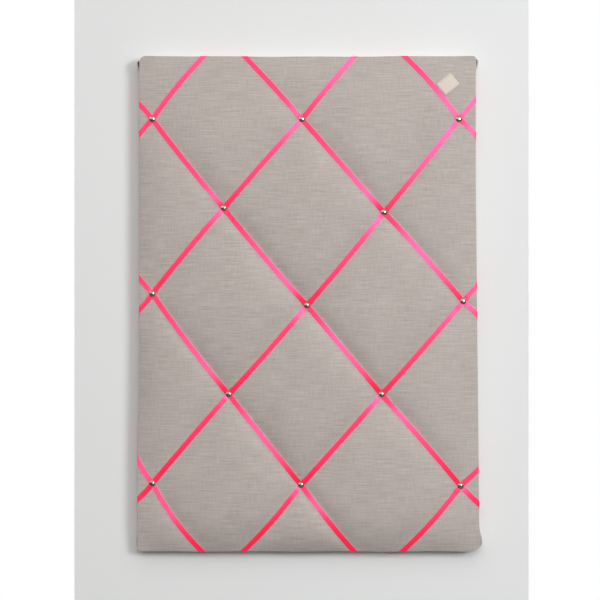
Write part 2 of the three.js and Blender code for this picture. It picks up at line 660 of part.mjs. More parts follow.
// Label, with its end against the first falling ribbon.
const beside = falling[0].start.run.at(LABEL_FROM_STUD);
const awayFromRibbon = new THREE.Vector2(beside.direction.y, -beside.direction.x);
const labelStations = [0, 0.5, 1].map((share) => {
  const reach = RIBBON_W / 2 + CLEARANCE + share * LABEL_L;
  const place = beside.place.clone().addScaledVector(awayFromRibbon, reach);
  return frontStation({ place, direction: awayFromRibbon }, LABEL_W);
});
addPiece('label_patch', strip(labelStations, LABEL_T), cream);

// Lining, with a window round each hanger.
const ringTop = RING_STRAIGHT + RING_R + RING_WIRE_R;
const windowW = RING_INNER_W + 4 * RING_WIRE_R + 2 * WINDOW_GAP;
const windowH = STRAP_L + ringTop + 2 * WINDOW_GAP;
const windowZ = hangerZ + (ringTop - STRAP_L) / 2;
const liningOutline = roundedRect(BOARD_W - 2 * LINING_INSET, BOARD_H - 2 * LINING_INSET, LINING_CORNER_R);
const windows = Object.values(hangers).map((x) => {
  const outline = roundedRect(windowW, windowH, WINDOW_CORNER_R, windowZ);
  return sheet(outline, LINING_FRONT_Y - TOOL_OVERRUN, TOOL_OVERRUN).translate(x, 0, 0);
});
addPiece('back_lining', cut(sheet(liningOutline, LINING_FRONT_Y, 0), windows), felt);

// Strap: a strip folded double round the ring's bar, with a screw hole through its tail.
function strapGeometry() {
  const loopY = CLEARANCE + LOOP_R;
  const tailY = CLEARANCE + 2 * STRAP_T;
  const meetAngle = Math.PI - Math.asin((tailY - loopY) / LOOP_R);
  const profile = new THREE.Shape();
  profile.moveTo(-STRAP_L, CLEARANCE);
  profile.lineTo(0, CLEARANCE);
  profile.absarc(0, loopY, LOOP_R, -Math.PI / 2, meetAngle);
  profile.lineTo(-STRAP_L, tailY);
  profile.closePath();
  const bore = new THREE.Path().absarc(0, loopY, RING_WIRE_R + CLEARANCE, 0, Math.PI * 2);
  profile.holes.push(bore);
  const options = { depth: STRAP_W, bevelEnabled: false, curveSegments: LOOP_STEPS };
  const folded = new THREE.ExtrudeGeometry(profile, options);
  folded.translate(0, 0, -STRAP_W / 2).rotateY(-Math.PI / 2);
  const outlineTop = LOOP_R + STRAP_CORNER_R + TOOL_OVERRUN;
  const outline = roundedRect(STRAP_W, STRAP_L + outlineTop, STRAP_CORNER_R, (outlineTop - STRAP_L) / 2);
  const rounding = sheet(outline, -TOOL_OVERRUN, loopY + LOOP_R + TOOL_OVERRUN);
  const rounded = geometryOf(solidOf(folded).intersect(solidOf(rounding)));
  const screwHole = drill(0, SCREW_FROM_END - STRAP_L, SCREW_SHANK_R, -TOOL_OVERRUN, tailY + TOOL_OVERRUN);
  return cut(rounded, [screwHole]);
}

// The ring's wire, from one end in the strap round the D and back to the other end.
class RingLine extends THREE.Curve {
  constructor() {
    super();
    const side = RING_R - RING_BEND_R;
    this.outline = new THREE.Path();
    this.outline.moveTo(RING_END_GAP / 2, 0);
    this.outline.lineTo(side, 0);
    this.outline.absarc(side, RING_BEND_R, RING_BEND_R, -Math.PI / 2, 0);
    this.outline.absarc(0, RING_STRAIGHT, RING_R, 0, Math.PI);
    this.outline.absarc(-side, RING_BEND_R, RING_BEND_R, Math.PI, Math.PI * 1.5);
    this.outline.lineTo(-RING_END_GAP / 2, 0);
  }

  getPoint(t, target = new THREE.Vector3()) {
    const { x, y } = this.outline.getPointAt(t);
    return target.set(x, 0, y);
  }
}

function ringGeometry() {
  const section = [...Array(WIRE_SIDES).keys()].map((k) => {
    const angle = (2 * Math.PI * k) / WIRE_SIDES;
    return new THREE.Vector2(RING_WIRE_R * Math.cos(angle), RING_WIRE_R * Math.sin(angle));
  });
  const options = { steps: RING_STEPS, extrudePath: new RingLine(), bevelEnabled: false };
  return new THREE.ExtrudeGeometry(new THREE.Shape(section), options);
}

// Pan-head screw, its head on the strap.
function screwGeometry() {
  const tipY = PANEL_BACK_Y - SCREW_BITE - strapBackY - CLEARANCE;
  const profile = [
    new THREE.Vector2(0, tipY),
    new THREE.Vector2(SCREW_SHANK_R, tipY + SCREW_POINT),
    new THREE.Vector2(SCREW_SHANK_R, 0),
    new THREE.Vector2(SCREW_HEAD_R, 0),
    new THREE.Vector2(SCREW_HEAD_R, SCREW_RIM_H),
    new THREE.Vector2(SCREW_CROWN_R, SCREW_HEAD_H),
    new THREE.Vector2(0, SCREW_HEAD_H),
  ];
  return new THREE.LatheGeometry(profile, STUD_SIDES);
}

Object.entries(hangers).forEach(([side, x]) => {
  addPiece(`hanger_strap_${side}`, strapGeometry(), steel).position.set(x, PANEL_BACK_Y, hangerZ);
  addPiece(`hanger_ring_${side}`, ringGeometry(), steel).position.set(x, ringY, hangerZ);
  addPiece(`hanger_screw_${side}`, screwGeometry(), steel).position.set(x, strapBackY + CLEARANCE, screwZ);
});

export default board;
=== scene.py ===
import math

import bpy
import numpy as np
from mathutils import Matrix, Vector, noise


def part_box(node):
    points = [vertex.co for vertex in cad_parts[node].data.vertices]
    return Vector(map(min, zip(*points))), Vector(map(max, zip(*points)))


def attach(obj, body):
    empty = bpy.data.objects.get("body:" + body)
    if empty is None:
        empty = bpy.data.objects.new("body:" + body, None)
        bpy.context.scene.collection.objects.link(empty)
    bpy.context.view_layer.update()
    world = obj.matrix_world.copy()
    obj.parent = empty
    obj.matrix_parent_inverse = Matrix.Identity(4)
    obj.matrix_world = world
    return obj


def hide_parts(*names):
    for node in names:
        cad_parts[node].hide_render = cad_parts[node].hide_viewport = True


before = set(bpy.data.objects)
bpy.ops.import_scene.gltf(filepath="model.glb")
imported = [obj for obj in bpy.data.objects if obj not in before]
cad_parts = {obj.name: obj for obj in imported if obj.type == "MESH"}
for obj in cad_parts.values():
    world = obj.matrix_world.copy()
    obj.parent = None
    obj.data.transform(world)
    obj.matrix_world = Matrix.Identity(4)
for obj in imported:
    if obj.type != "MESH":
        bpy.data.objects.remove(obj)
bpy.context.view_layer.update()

# Core panel: a sheet of medium-density fibreboard that carries everything else. It is sawn to size, bored for
# the nails and screws, and shows only at the back, through the windows of the lining.
MM = 0.001
PANEL_FLECK = 1.6 * MM
panel_low, panel_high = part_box("core_panel")


def linear(hex_colour):
    """An sRGB hex colour as linear red, green, blue and alpha."""
    channels = [int(hex_colour[k : k + 2], 16) / 255 for k in (1, 3, 5)]
    return tuple(c / 12.92 if c <= 0.04045 else ((c + 0.055) / 1.055) ** 2.4 for c in channels) + (1.0,)


def start_material(name, **constants):
    """A material whose Principled shader has these constant sockets, with its node tree and its shader."""
    material = bpy.data.materials.new(name)
    material.use_nodes = True
    shader = material.node_tree.nodes["Principled BSDF"]
    for socket, value in constants.items():
        shader.inputs[socket.replace("_", " ")].default_value = value
    return material, material.node_tree, shader


def add_node(tree, kind, inputs, **settings):
    """A node with its settings, and with each input set to a value or linked to another node's output."""
    node = tree.nodes.new(kind)
    for name, value in settings.items():
        setattr(node, name, value)
    for socket, value in inputs.items():
        if isinstance(value, bpy.types.NodeSocket):
            tree.links.new(value, node.inputs[socket])
        else:
            node.inputs[socket].default_value = value
    return node


def mottle(tree, shader, size, dark, light, place=None, **detail):
    """Colours a shader in clouds of this size between two tones, and gives the pattern for other sockets."""
    if place is None:
        place = add_node(tree, "ShaderNodeTexCoord", {}).outputs["Object"]
    pattern = add_node(tree, "ShaderNodeTexNoise", {"Vector": place, "Scale": 1 / size, **detail})
    tones = {0: pattern.outputs[0], 6: linear(dark), 7: linear(light)}
    tint = add_node(tree, "ShaderNodeMix", tones, data_type="RGBA")
    tree.links.new(tint.outputs[2], shader.inputs["Base Color"])
    return pattern.outputs[0]


def dress(node, material):
    """Gives a CAD node's object its finish."""
    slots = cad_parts[node].material_slots
    if slots:
        slots[0].material = material
    else:
        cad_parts[node].data.materials.append(material)


# Raw fibreboard: pressed brown fibre, matt, with fine flecks and a faint tooth.
fibreboard, tree, shader = start_material("fibreboard_raw", Roughness=0.82, Specular_IOR_Level=0.3)
fleck = mottle(tree, shader, PANEL_FLECK, "#8f6f49", "#c4a277", Detail=5.0)
tooth = add_node(tree, "ShaderNodeBump", {"Height": fleck, "Strength": 0.25, "Distance": 0.2 * MM})
tree.links.new(tooth.outputs[0], shader.inputs["Normal"])
dress("core_panel", fibreboard)

# Wadding: a layer of polyester wadding on the panel's front, rolled over its edges. The ribbons are drawn
# tight across it and nailed down through it, so it is deepest in the middle of each diamond.
linen_low, linen_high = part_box("linen_cover")
HALF_W = linen_high.x
HALF_H = linen_high.z
PANEL_FRONT = panel_low.y
PUFF = 7.3 * MM  # how much fuller the wadding is than in the CAD model
CROWN = PANEL_FRONT - linen_low.y + PUFF  # linen's height in front of the panel, between the ribbons
RIM = 6 * MM  # and at the edge of the front
# How the front rises from its edges: a share of the rise over a short width, the rest over a long one.
SIDE_RISE = (0.06, 10 * MM, 46 * MM)
TOP_RISE = (0.0, 9 * MM, 87 * MM)
FOOT_RISE = (0.9, 15 * MM, 48 * MM)
LINEN_T = 0.6 * MM
LAYER_GAP = 0.3 * MM
RIBBON_W = 6 * MM
RIBBON_T = 0.25 * MM
RIBBON_GAP = 0.13 * MM
NAIL_HEAD_H = 2.7 * MM
RIBBON_DIP = 8.5 * MM  # depth that a ribbon presses in, midway between two nails
RIBBON_EASE = 18 * MM  # length over which it rises from a nail
LINEN_EASE = 15 * MM  # width over which the linen rises beside a ribbon
# Depth at which a ribbon leaves the front, at each edge.
EXIT_DIPS = {"left": 12 * MM, "right": 12 * MM, "top": RIBBON_DIP, "bottom": RIBBON_DIP}
EDGES = {
    "left": np.array([-1.0, 0.0]),
    "right": np.array([1.0, 0.0]),
    "top": np.array([0.0, 1.0]),
    "bottom": np.array([0.0, -1.0]),
}
# Each ribbon: the edge and place where it starts, its nails, where it ends, and how far each of its runs
# curves away from the middle of the board, all in millimetres.
FALLING = [
    (("top", 115.7), [3], ("right", 201.6), [2.5, 1.1]),
    (("top", -75.4), [2, 5, 8], ("right", -12.8), [0.4, -0.5, 1.0, 0]),
    (("left", 238.9), [1, 4, 7, 10, 13], ("right", -239.8), [0.7, 1.2, 1.2, 0, -0.7, 0]),
    (("left", 30.3), [6, 9, 12], ("bottom", 55.6), [-0.2, 1.5, -0.2, 0.8]),
    (("left", -187.1), [11], ("bottom", -126.3), [0.8, 3.4]),
]
RISING = [
    (("top", -124.6), [1], ("left", 202.8), [1.7, 0.4]),
    (("top", 55.7), [2, 4, 6], ("left", -7.4), [0.4, 0.2, 1.0, -0.6]),
    (("right", 244.7), [3, 5, 7, 9, 11], ("left", -234.4), [0, 0.8, 1.1, 1.0, 0.4, 0.7]),
    (("right", 21.3), [8, 10, 12], ("bottom", -77.6), [0, 0.7, 0, 1.9]),
    (("right", -197.8), [13], ("bottom", 112.8), [0.3, 2.1]),
]


def rise_at(inset, share, short, long):
    """Share of the full height at this distance in from an edge."""
    inset = np.clip(inset, 0, None)
    return 1 - share * np.exp(-inset / short) - (1 - share) * np.exp(-inset / long)


def roll_at(x, z):
    """Share of the full height at a place on the front, from 0 at the edge towards 1 in the middle."""
    to_end = np.where(z > 0, rise_at(HALF_H - z, *TOP_RISE), rise_at(HALF_H + z, *FOOT_RISE))
    return rise_at(HALF_W - np.abs(x), *SIDE_RISE) * to_end


def on_front(x, z, dip):
    """Places on the linen's face, where it is pressed in by this depth."""
    height = RIM + (CROWN - RIM - dip) * roll_at(x, z)
    return np.stack([x, PANEL_FRONT - height, z], axis=-1)


class Nail:
    """A nail's place on the front, and how deep it draws the linen in."""

    def __init__(self, number):
        low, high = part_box(f"stud_{number}")
        self.place = np.array([(low.x + high.x) / 2, (low.z + high.z) / 2])
        self.front = low.y
        self.tip = high.y
        self.seat = low.y + NAIL_HEAD_H
        linen_height = PANEL_FRONT - self.seat - 2 * (RIBBON_T + RIBBON_GAP)
        self.dip = CROWN - RIM - (linen_height - RIM) / roll_at(*self.place)


nails = {number: Nail(number) for number in range(1, 14)}


def exit_place(edge, along):
    """Where a ribbon goes over the edge of the front."""
    outward = EDGES[edge]
    return outward * (HALF_W, HALF_H) + np.abs(outward[::-1]) * along * MM


def sag(distance, length, start, end):
    """Depth that a run of ribbon presses in, between the depths at its two ends."""
    spread = np.sinh(length / RIBBON_EASE)
    from_start = (start - RIBBON_DIP) * np.sinh((length - distance) / RIBBON_EASE)
    from_end = (end - RIBBON_DIP) * np.sinh(distance / RIBBON_EASE)
    return RIBBON_DIP + (from_start + from_end) / spread


def bowed(start, end, bow, share):
    """Places along a run that curves away from the middle of the board."""
    run = end - start
    outwards = np.array([-run[1], run[0]]) / np.linalg.norm(run)
    if outwards @ (start + end) < 0:
        outwards = -outwards
    return start + np.outer(share, run) + np.outer(4 * bow * MM * share * (1 - share), outwards)


def ribbon_runs(plan):
    """The runs of a ribbon on the front: start, end, the depth at each, and the bow."""
    first, numbers, last, bows = plan
    stops = [(nails[number].place, nails[number].dip) for number in numbers]
    stops = [(exit_place(*first), EXIT_DIPS[first[0]]), *stops, (exit_place(*last), EXIT_DIPS[last[0]])]
    return [(*stops[k], *stops[k + 1], bow) for k, bow in enumerate(bows)]


# The linen is a skin drawn over springy wadding: where no ribbon holds it, each place of a fine grid is
# relaxed between its neighbours and the wadding's own height.
SKIN_STEP = 2 * MM
SKIN_ROUNDS = 1600
SKIN_START = 0.3 * RIBBON_DIP  # depth before the first round
SKIN_HOLD = 0.8 * MM  # how far past a ribbon's edge the linen is held down
HOLD_STEP = 0.5 * MM  # between the places where it is held, along a ribbon
HOLD_LINES = 9  # lines of such places across a ribbon
GRID_END = 1.001  # keeps a place on the far edge within the last cell
skin_columns = round(2 * HALF_W / SKIN_STEP) + 1
skin_rows = round(2 * HALF_H / SKIN_STEP) + 1
skin_dip = np.full((skin_rows, skin_columns), SKIN_START)
held_down = np.zeros(skin_dip.shape)
for plan in FALLING + RISING:
    for start, start_dip, end, end_dip, bow in ribbon_runs(plan):
        length = np.linalg.norm(end - start)
        share = np.linspace(0, 1, int(length / HOLD_STEP))
        centre = bowed(start, end, bow, share)
        square = np.array([start[1] - end[1], end[0] - start[0]]) / length
        depth = sag(share * length, length, start_dip, end_dip)
        for offset in np.linspace(-1, 1, HOLD_LINES) * (RIBBON_W / 2 + SKIN_HOLD):
            spots = (centre + offset * square + (HALF_W, HALF_H)) / SKIN_STEP
            column = np.clip(np.rint(spots[:, 0]).astype(int), 0, skin_columns - 1)
            row = np.clip(np.rint(spots[:, 1]).astype(int), 0, skin_rows - 1)
            np.maximum.at(held_down, (row, column), depth)
pull = 4 + (SKIN_STEP / LINEN_EASE) ** 2
for _ in range(SKIN_ROUNDS):
    skin_dip = np.where(held_down > 0, held_down, skin_dip)
    edged = np.pad(skin_dip, 1, mode="edge")
    skin_dip = (edged[:-2, 1:-1] + edged[2:, 1:-1] + edged[1:-1, :-2] + edged[1:-1, 2:]) / pull
skin_dip = np.where(held_down > 0, held_down, skin_dip)


def dip_at(x, z):
    """Depth that the linen is pressed in at a place on the front, between the points of the relaxed grid."""
    across = np.clip((x + HALF_W) / SKIN_STEP, 0, skin_columns - GRID_END)
    upwards = np.clip((z + HALF_H) / SKIN_STEP, 0, skin_rows - GRID_END)
    column = across.astype(int)
    row = upwards.astype(int)
    right = across - column
    up = upwards - row
    low = skin_dip[row, column] * (1 - right) + skin_dip[row, column + 1] * right
    high = skin_dip[row + 1, column] * (1 - right) + skin_dip[row + 1, column + 1] * right
    return low * (1 - up) + high * up


# The board is made by hand: its right side leans out towards the foot, its left side a little, its top and
# bottom edges wander, its top edge sags, and it grows thinner at its foot.
CORNER_RS = {"top_left": 8 * MM, "top_right": 5 * MM, "bottom_left": 6 * MM, "bottom_right": 10 * MM}
LEAN_FROM = 186 * MM
# Heights above the middle, and how far each side lies to the right there, in millimetres.
RIGHT_LEAN = (
    (-297, -290, -283, -275, -264, -235, 150, 270, 290),
    (3.6, 4.3, 4.4, 3.4, 2.3, 2.0, -1.9, -1.9, -1.0),
)
LEFT_LEAN = ((-283, -163, -43), (-1.2, -0.6, 1.2))
WANDER = 0.25 * MM
WANDER_WAVE = 17 * MM
WANDER_BAND = 30 * MM
TOP_SAG = 0.9 * MM
FOOT_BAND = 50 * MM
FOOT_THINNING = 0.2


def by_hand(points):
    """Moves places of the true board to where they lie on the handmade one."""
    x, y, z = (np.array(points[..., k]) for k in range(3))
    at_top = np.where(x > 0, CORNER_RS["top_right"], CORNER_RS["top_left"])
    at_foot = np.where(x > 0, CORNER_RS["bottom_right"], CORNER_RS["bottom_left"])
    corner_r = np.where(z > 0, at_top, at_foot)
    side = np.clip((np.abs(x) - HALF_W + corner_r) / corner_r, 0, None)
    end = np.clip((np.abs(z) - HALF_H + corner_r) / corner_r, 0, None)
    # Each corner's square is mapped to a disc.
    rounded_x = side * np.sqrt(np.clip(1 - end**2 / 2, 0.5, 1))
    rounded_z = end * np.sqrt(np.clip(1 - side**2 / 2, 0.5, 1))
    new_x = x + np.sign(x) * (rounded_x - side) * corner_r
    new_z = z + np.sign(z) * (rounded_z - end) * corner_r
    near_side = np.clip((np.abs(x) - LEAN_FROM) / (HALF_W - LEAN_FROM), 0, 1)
    right = np.interp(z / MM, *RIGHT_LEAN) * MM
    left = np.interp(z / MM, *LEFT_LEAN) * MM
    new_x = new_x + near_side * np.where(x > 0, right, left)
    near_end = np.clip((np.abs(z) - HALF_H + WANDER_BAND) / WANDER_BAND, 0, 1)
    sag_down = np.where(z > 0, TOP_SAG * np.cos(0.5 * np.pi * np.clip(x / HALF_W, -1, 1)), 0)
    wander = WANDER * np.sin(x / WANDER_WAVE + np.sign(z))
    new_z = new_z + near_end * (wander - sag_down)
    near_foot = np.clip(1 - (HALF_H + z) / FOOT_BAND, 0, 1)
    new_y = y + (linen_high.y - y) * FOOT_THINNING * near_foot**2
    return np.stack([new_x, new_y, new_z], axis=-1)


def border_loop(rows, columns):
    """Indices round the border of a grid, anticlockwise from the front."""
    bottom = list(range(columns - 1))
    right = [row * columns + columns - 1 for row in range(rows - 1)]
    top = [(rows - 1) * columns + column for column in range(columns - 1, 0, -1)]
    left = [row * columns for row in range(rows - 1, 0, -1)]
    return bottom + right + top + left


def grid_faces(rows, columns):
    """The four-sided faces of a grid of points."""
    return [
        (row * columns + k, row * columns + k + 1, (row + 1) * columns + k + 1, (row + 1) * columns + k)
        for row in range(rows - 1)
        for k in range(columns - 1)
    ]


def loop_faces(loops):
    """The faces between closed loops of point indices."""
    faces = []
    for near, far in zip(loops, loops[1:]):
        for k in range(len(near)):
            after = (k + 1) % len(near)
            faces.append((near[k], far[k], far[after], near[after]))
    return faces


def smooth_mesh(name, points, faces):
    """A smooth-shaded mesh."""
    mesh = bpy.data.meshes.new(name)
    mesh.from_pydata([tuple(point) for point in points], [], faces)
    mesh.polygons.foreach_set("use_smooth", [True] * len(mesh.polygons))
    mesh.update()
    return mesh


def add_piece(name, mesh, material, nodes=(), body="board"):
    """An object with its finish, riding on a body in place of CAD nodes."""
    piece = bpy.data.objects.new(name, mesh)
    bpy.context.scene.collection.objects.link(piece)
    mesh.materials.append(material)
    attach(piece, body)
    if nodes:
        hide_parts(*nodes)
    return piece


# Polyester wadding: bright white crimped fibre, quite matt, with a cloudy surface.
WADDING_CLOUD = 5 * MM
polyester, tree, shader = start_material("wadding_polyester", Roughness=1.0, Specular_IOR_Level=0.1)
cloud = mottle(tree, shader, WADDING_CLOUD, "#dedcd4", "#fbfaf6", Detail=6.0)
fluff = add_node(tree, "ShaderNodeBump", {"Height": cloud, "Strength": 0.6, "Distance": 1 * MM})
tree.links.new(fluff.outputs[0], shader.inputs["Normal"])

WADDING_STEP = 7 * MM
WADDING_INSET = LINEN_T + 2 * LAYER_GAP
wadding_xs = np.linspace(-HALF_W, HALF_W, round(2 * HALF_W / WADDING_STEP))
wadding_zs = np.linspace(-HALF_H, HALF_H, round(2 * HALF_H / WADDING_STEP))
grid_x, grid_z = np.meshgrid(wadding_xs, wadding_zs)
outside = by_hand(on_front(grid_x, grid_z, dip_at(grid_x, grid_z))).reshape(-1, 3)
outside *= (1 - WADDING_INSET / HALF_W, 1, 1 - WADDING_INSET / HALF_H)
outside[:, 1] += WADDING_INSET
inside = outside.copy()
room = np.array([panel_high.x, panel_high.z]) + LAYER_GAP
inside[:, 0] = np.clip(inside[:, 0], -room[0], room[0])
inside[:, 2] = np.clip(inside[:, 2], -room[1], room[1])
inside[:, 1] = PANEL_FRONT - LAYER_GAP
border = border_loop(len(wadding_zs), len(wadding_xs))
outside_foot = outside[border] * (1, 0, 1) + (0, panel_high.y, 0)
inside_foot = inside[border] * (1, 0, 1) + (0, panel_high.y, 0)
count = len(outside)
points = np.concatenate([outside, inside, outside_foot, inside_foot])
inner_border = [count + index for index in border]
outer_feet = [2 * count + k for k in range(len(border))]
inner_feet = [2 * count + len(border) + k for k in range(len(border))]
front_faces = grid_faces(len(wadding_zs), len(wadding_xs))
back_faces = [tuple(count + index for index in reversed(face)) for face in front_faces]
side_faces = loop_faces([border, outer_feet, inner_feet, inner_border])
mesh = smooth_mesh("wadding", points, front_faces + back_faces + side_faces)
wadding = add_piece("wadding", mesh, polyester, ["wadding_pad"])

# Linen cover: a piece of plain-woven taupe linen, drawn over the wadding, round the sides and turned in on
# the panel's back. Its spare cloth is folded over at each corner, against the side.
BACK_Y = linen_high.y
RIM_Y = PANEL_FRONT - RIM
SIDE_DEPTH = BACK_Y - RIM_Y
BACK_TURN_R = 1.5 * MM
SIDE_SWELL = 0.15 * MM
LINEN_STEP = 2.4 * MM
EDGE_LINES = [0, 0.25, 0.8, 1.6, 2.7, 4.2, 6.2]  # millimetres from the edge, where the roll is tightest
LUMP = 45 * MM
LUMP_H = 0.35 * MM


def edge_turn(travel):
    """Inward distance and depth after this length of cloth past the rim: the side, a tight turn, the back."""
    straight = SIDE_DEPTH - BACK_TURN_R
    swell = -SIDE_SWELL * np.sin(np.pi * np.clip(travel / SIDE_DEPTH, 0, 1))
    angle = np.clip((travel - straight) / BACK_TURN_R, 0, math.pi / 2)
    on_back = np.clip(travel - straight - BACK_TURN_R * math.pi / 2, 0, None)
    inward = swell + BACK_TURN_R * (1 - np.cos(angle)) + on_back
    depth = RIM_Y + np.clip(travel, 0, straight) + BACK_TURN_R * np.sin(angle)
    return inward, depth


def cloth_lines(half):
    """Grid lines across the front, close together at the two edges."""
    edge = np.array(EDGE_LINES) * MM
    inner = half - EDGE_LINES[-1] * MM
    middle = np.linspace(-inner, inner, round(2 * inner / LINEN_STEP))
    return np.concatenate([edge[:-1] - half, middle, (half - edge[:-1])[::-1]])


def lumps(x, z):
    """Small unevenness of the wadding under the linen."""
    places = zip(np.ravel(x) / LUMP, np.ravel(z) / LUMP)
    return np.array([noise.noise((a, b, 0.0)) for a, b in places]).reshape(np.shape(x)) * LUMP_H


linen_xs = cloth_lines(HALF_W)
linen_zs = cloth_lines(HALF_H)
grid_x, grid_z = np.meshgrid(linen_xs, linen_zs)
free = np.clip(1 - dip_at(grid_x, grid_z) / RIBBON_DIP, 0, 1)
front = on_front(grid_x, grid_z, dip_at(grid_x, grid_z) + lumps(grid_x, grid_z) * free).reshape(-1, 3)
border = border_loop(len(linen_zs), len(linen_xs))
outline = front[border][:, [0, 2]]
cloth = np.stack([np.ravel(grid_x), np.ravel(grid_z)], axis=-1)
outward = np.where(np.isclose(np.abs(outline), (HALF_W, HALF_H)), np.sign(outline), 0)
# Rows of cloth past the rim: down the side, then round the back.
DOWN_SIDE = np.array([1.2, 3, 5.5, 8, 10.5]) * MM
ROUND_BACK = SIDE_DEPTH + np.array([-1.2, -0.6, 0, 0.6, 2.4, 6.4, 12.4, 20.4, 30.4]) * MM
loops = [border]
points = [by_hand(front)]
cloths = [cloth]
for travel in [*DOWN_SIDE, *ROUND_BACK]:
    inward, depth = edge_turn(np.array(travel))
    shrink = 1 - inward / np.array([HALF_W, HALF_H])
    ring = np.stack([outline[:, 0], np.full(len(border), depth), outline[:, 1]], axis=-1)
    first = sum(len(part) for part in points)
    points.append(by_hand(ring) * (shrink[0], 1, shrink[1]))
    cloths.append(cloth[border] + outward * travel)
    loops.append([first + k for k in range(len(border))])
faces = grid_faces(len(linen_zs), len(linen_xs)) + loop_faces(loops)


def cloth_mesh(name, points, faces, cloth):
    """A mesh that carries each point's place on the flat cloth, in metres, for its weave."""
    mesh = smooth_mesh(name, points, faces)
    flat = np.concatenate([cloth, np.zeros((len(cloth), 1))], axis=1)
    mesh.attributes.new("cloth", "FLOAT_VECTOR", "POINT").data.foreach_set("vector", flat.ravel())
    return mesh


def thicken(piece, thickness, offset):
    """Gives a sheet its thickness, inwards at -1 or outwards at 1."""
    solidify = piece.modifiers.new("thickness", "SOLIDIFY")
    solidify.thickness = thickness
    solidify.offset = offset
    return piece


# Plain-woven linen: matt flax with thick and thin threads, which show as faint streaks along the weft and the
# warp. The real threads, 0.6 mm apart, are too fine to show, so the streaks are drawn coarser.
THREAD = 1.3 * MM
WEFT_SLUB = 26 * MM
WARP_SLUB = 16 * MM
PATCH = 60 * MM
WARP_SHARE = 0.34
PATCH_SHARE = 0.12
flax, tree, shader = start_material(
    "linen_plain_weave",
    Roughness=0.92,
    Specular_IOR_Level=0.2,
    Sheen_Weight=0.08,
    Sheen_Roughness=0.5,
)
on_cloth = add_node(tree, "ShaderNodeAttribute", {}, attribute_name="cloth").outputs["Vector"]
weft_scale = (1 / WEFT_SLUB, 1 / THREAD, 1.0)
warp_scale = (1 / THREAD, 1 / WARP_SLUB, 1.0)
weft_place = add_node(tree, "ShaderNodeMapping", {"Vector": on_cloth, "Scale": weft_scale})
warp_place = add_node(tree, "ShaderNodeMapping", {"Vector": on_cloth, "Scale": warp_scale})
weft = add_node(tree, "ShaderNodeTexNoise", {"Vector": weft_place.outputs[0], "Scale": 1.0, "Detail": 3.0})
warp = add_node(tree, "ShaderNodeTexNoise", {"Vector": warp_place.outputs[0], "Scale": 1.0, "Detail": 3.0})
patch = add_node(tree, "ShaderNodeTexNoise", {"Vector": on_cloth, "Scale": 1 / PATCH, "Detail": 2.0})
threads = add_node(tree, "ShaderNodeMix", {0: WARP_SHARE, 2: weft.outputs[0], 3: warp.outputs[0]})
cloth_tone = add_node(tree, "ShaderNodeMix", {0: PATCH_SHARE, 2: threads.outputs[0], 3: patch.outputs[0]})
contrast = add_node(tree, "ShaderNodeMapRange", {0: cloth_tone.outputs[0], 1: 0.3, 2: 0.7})
tones = {0: contrast.outputs[0], 6: linear("#a89d98"), 7: linear("#ccc2bd")}
tint = add_node(tree, "ShaderNodeMix", tones, data_type="RGBA")
tree.links.new(tint.outputs[2], shader.inputs["Base Color"])
weave = add_node(
    tree, "ShaderNodeBump", {"Height": threads.outputs[0], "Strength": 0.35, "Distance": 0.3 * MM}
)
tree.links.new(weave.outputs[0], shader.inputs["Normal"])

mesh = cloth_mesh("linen", np.concatenate(points), faces, np.concatenate(cloths))
linen = thicken(add_piece("linen", mesh, flax, ["linen_cover"]), LINEN_T, -1)

# Corner folds, of doubled cloth: side of the board, end of the board, how far from the corner the fold
# starts, its length, and how far it stands off the side, in millimetres.
FOLDS = {
    "top_left": (-1, 1, 4.0, 16, 3.5),
    "top_right": (1, 1, 3.0, 13, 2.4),
    "bottom_right": (1, -1, 4.5, 22, 1.7),
    "bottom_left": (-1, -1, 5.0, 15, 1.0),
}
FOLD_T = 1.2 * MM
FOLD_STEPS = 15
# How full a fold is along its length, and at each depth behind the rim, in millimetres.
FOLD_SHAPE = (
    (0, 0.08, 0.2, 0.35, 0.5, 0.65, 0.8, 0.92, 1),
    (0.5, 0.72, 0.93, 1.0, 0.93, 0.7, 0.4, 0.18, 0.1),
)
FOLD_DEPTHS = [(1.2, 0.9), (2.4, 1.0), (5, 1.0), (8, 0.85), (11, 0.6), (13, 0.4)]
for corner, (side, end, start, length, stand) in FOLDS.items():
    points = []
    cloth = []
    for depth, fullness in FOLD_DEPTHS:
        for share in np.linspace(0, 1, FOLD_STEPS):
            z = end * (HALF_H - (start + length * share) * MM)
            out = HALF_W + stand * MM * fullness * np.interp(share, *FOLD_SHAPE)
            points.append((side * out, RIM_Y + depth * MM, z))
            cloth.append((side * (HALF_W + depth * MM), z))
    placed = np.array(points)
    against = placed * (0, 1, 1) + (side * HALF_W, 0, 0)
    placed += by_hand(against) - against
    faces = grid_faces(len(FOLD_DEPTHS), FOLD_STEPS)
    if side * end < 0:
        faces = [tuple(reversed(face)) for face in faces]
    mesh = cloth_mesh(f"corner_fold_{corner}", placed, faces, np.array(cloth))
    thicken(add_piece(f"corner_fold_{corner}", mesh, flax), FOLD_T, -1)

# Ribbons: single-faced satin ribbon in hot pink, 6 mm wide. Each is drawn from edge to edge, nailed where it
# crosses another, and stapled down on the back. The rising ribbons lie over the falling ones.
RIBBON_STEP = 2 * MM
RIM_STEP = 0.35 * MM  # closer rows where the ribbon turns over the rim
RIM_BAND = 4.2 * MM
ROW_GAP = 0.5 * MM  # least distance from the last plain row to these
END_SAMPLES = 500  # places where the run to the rim is measured, closest together at the rim
NAIL_LIFT = RIBBON_T + RIBBON_GAP  # a rising ribbon's rise over a falling one
LIFT_FLAT = 4.5 * MM  # how far from the nail it keeps that rise
LIFT_EASE = 9 * MM  # and loses it
ACROSS = np.array([1, 0.97, 0.75, 0.5, 0.25, 0, -0.25, -0.5, -0.75, -0.97, -1]) * RIBBON_W / 2


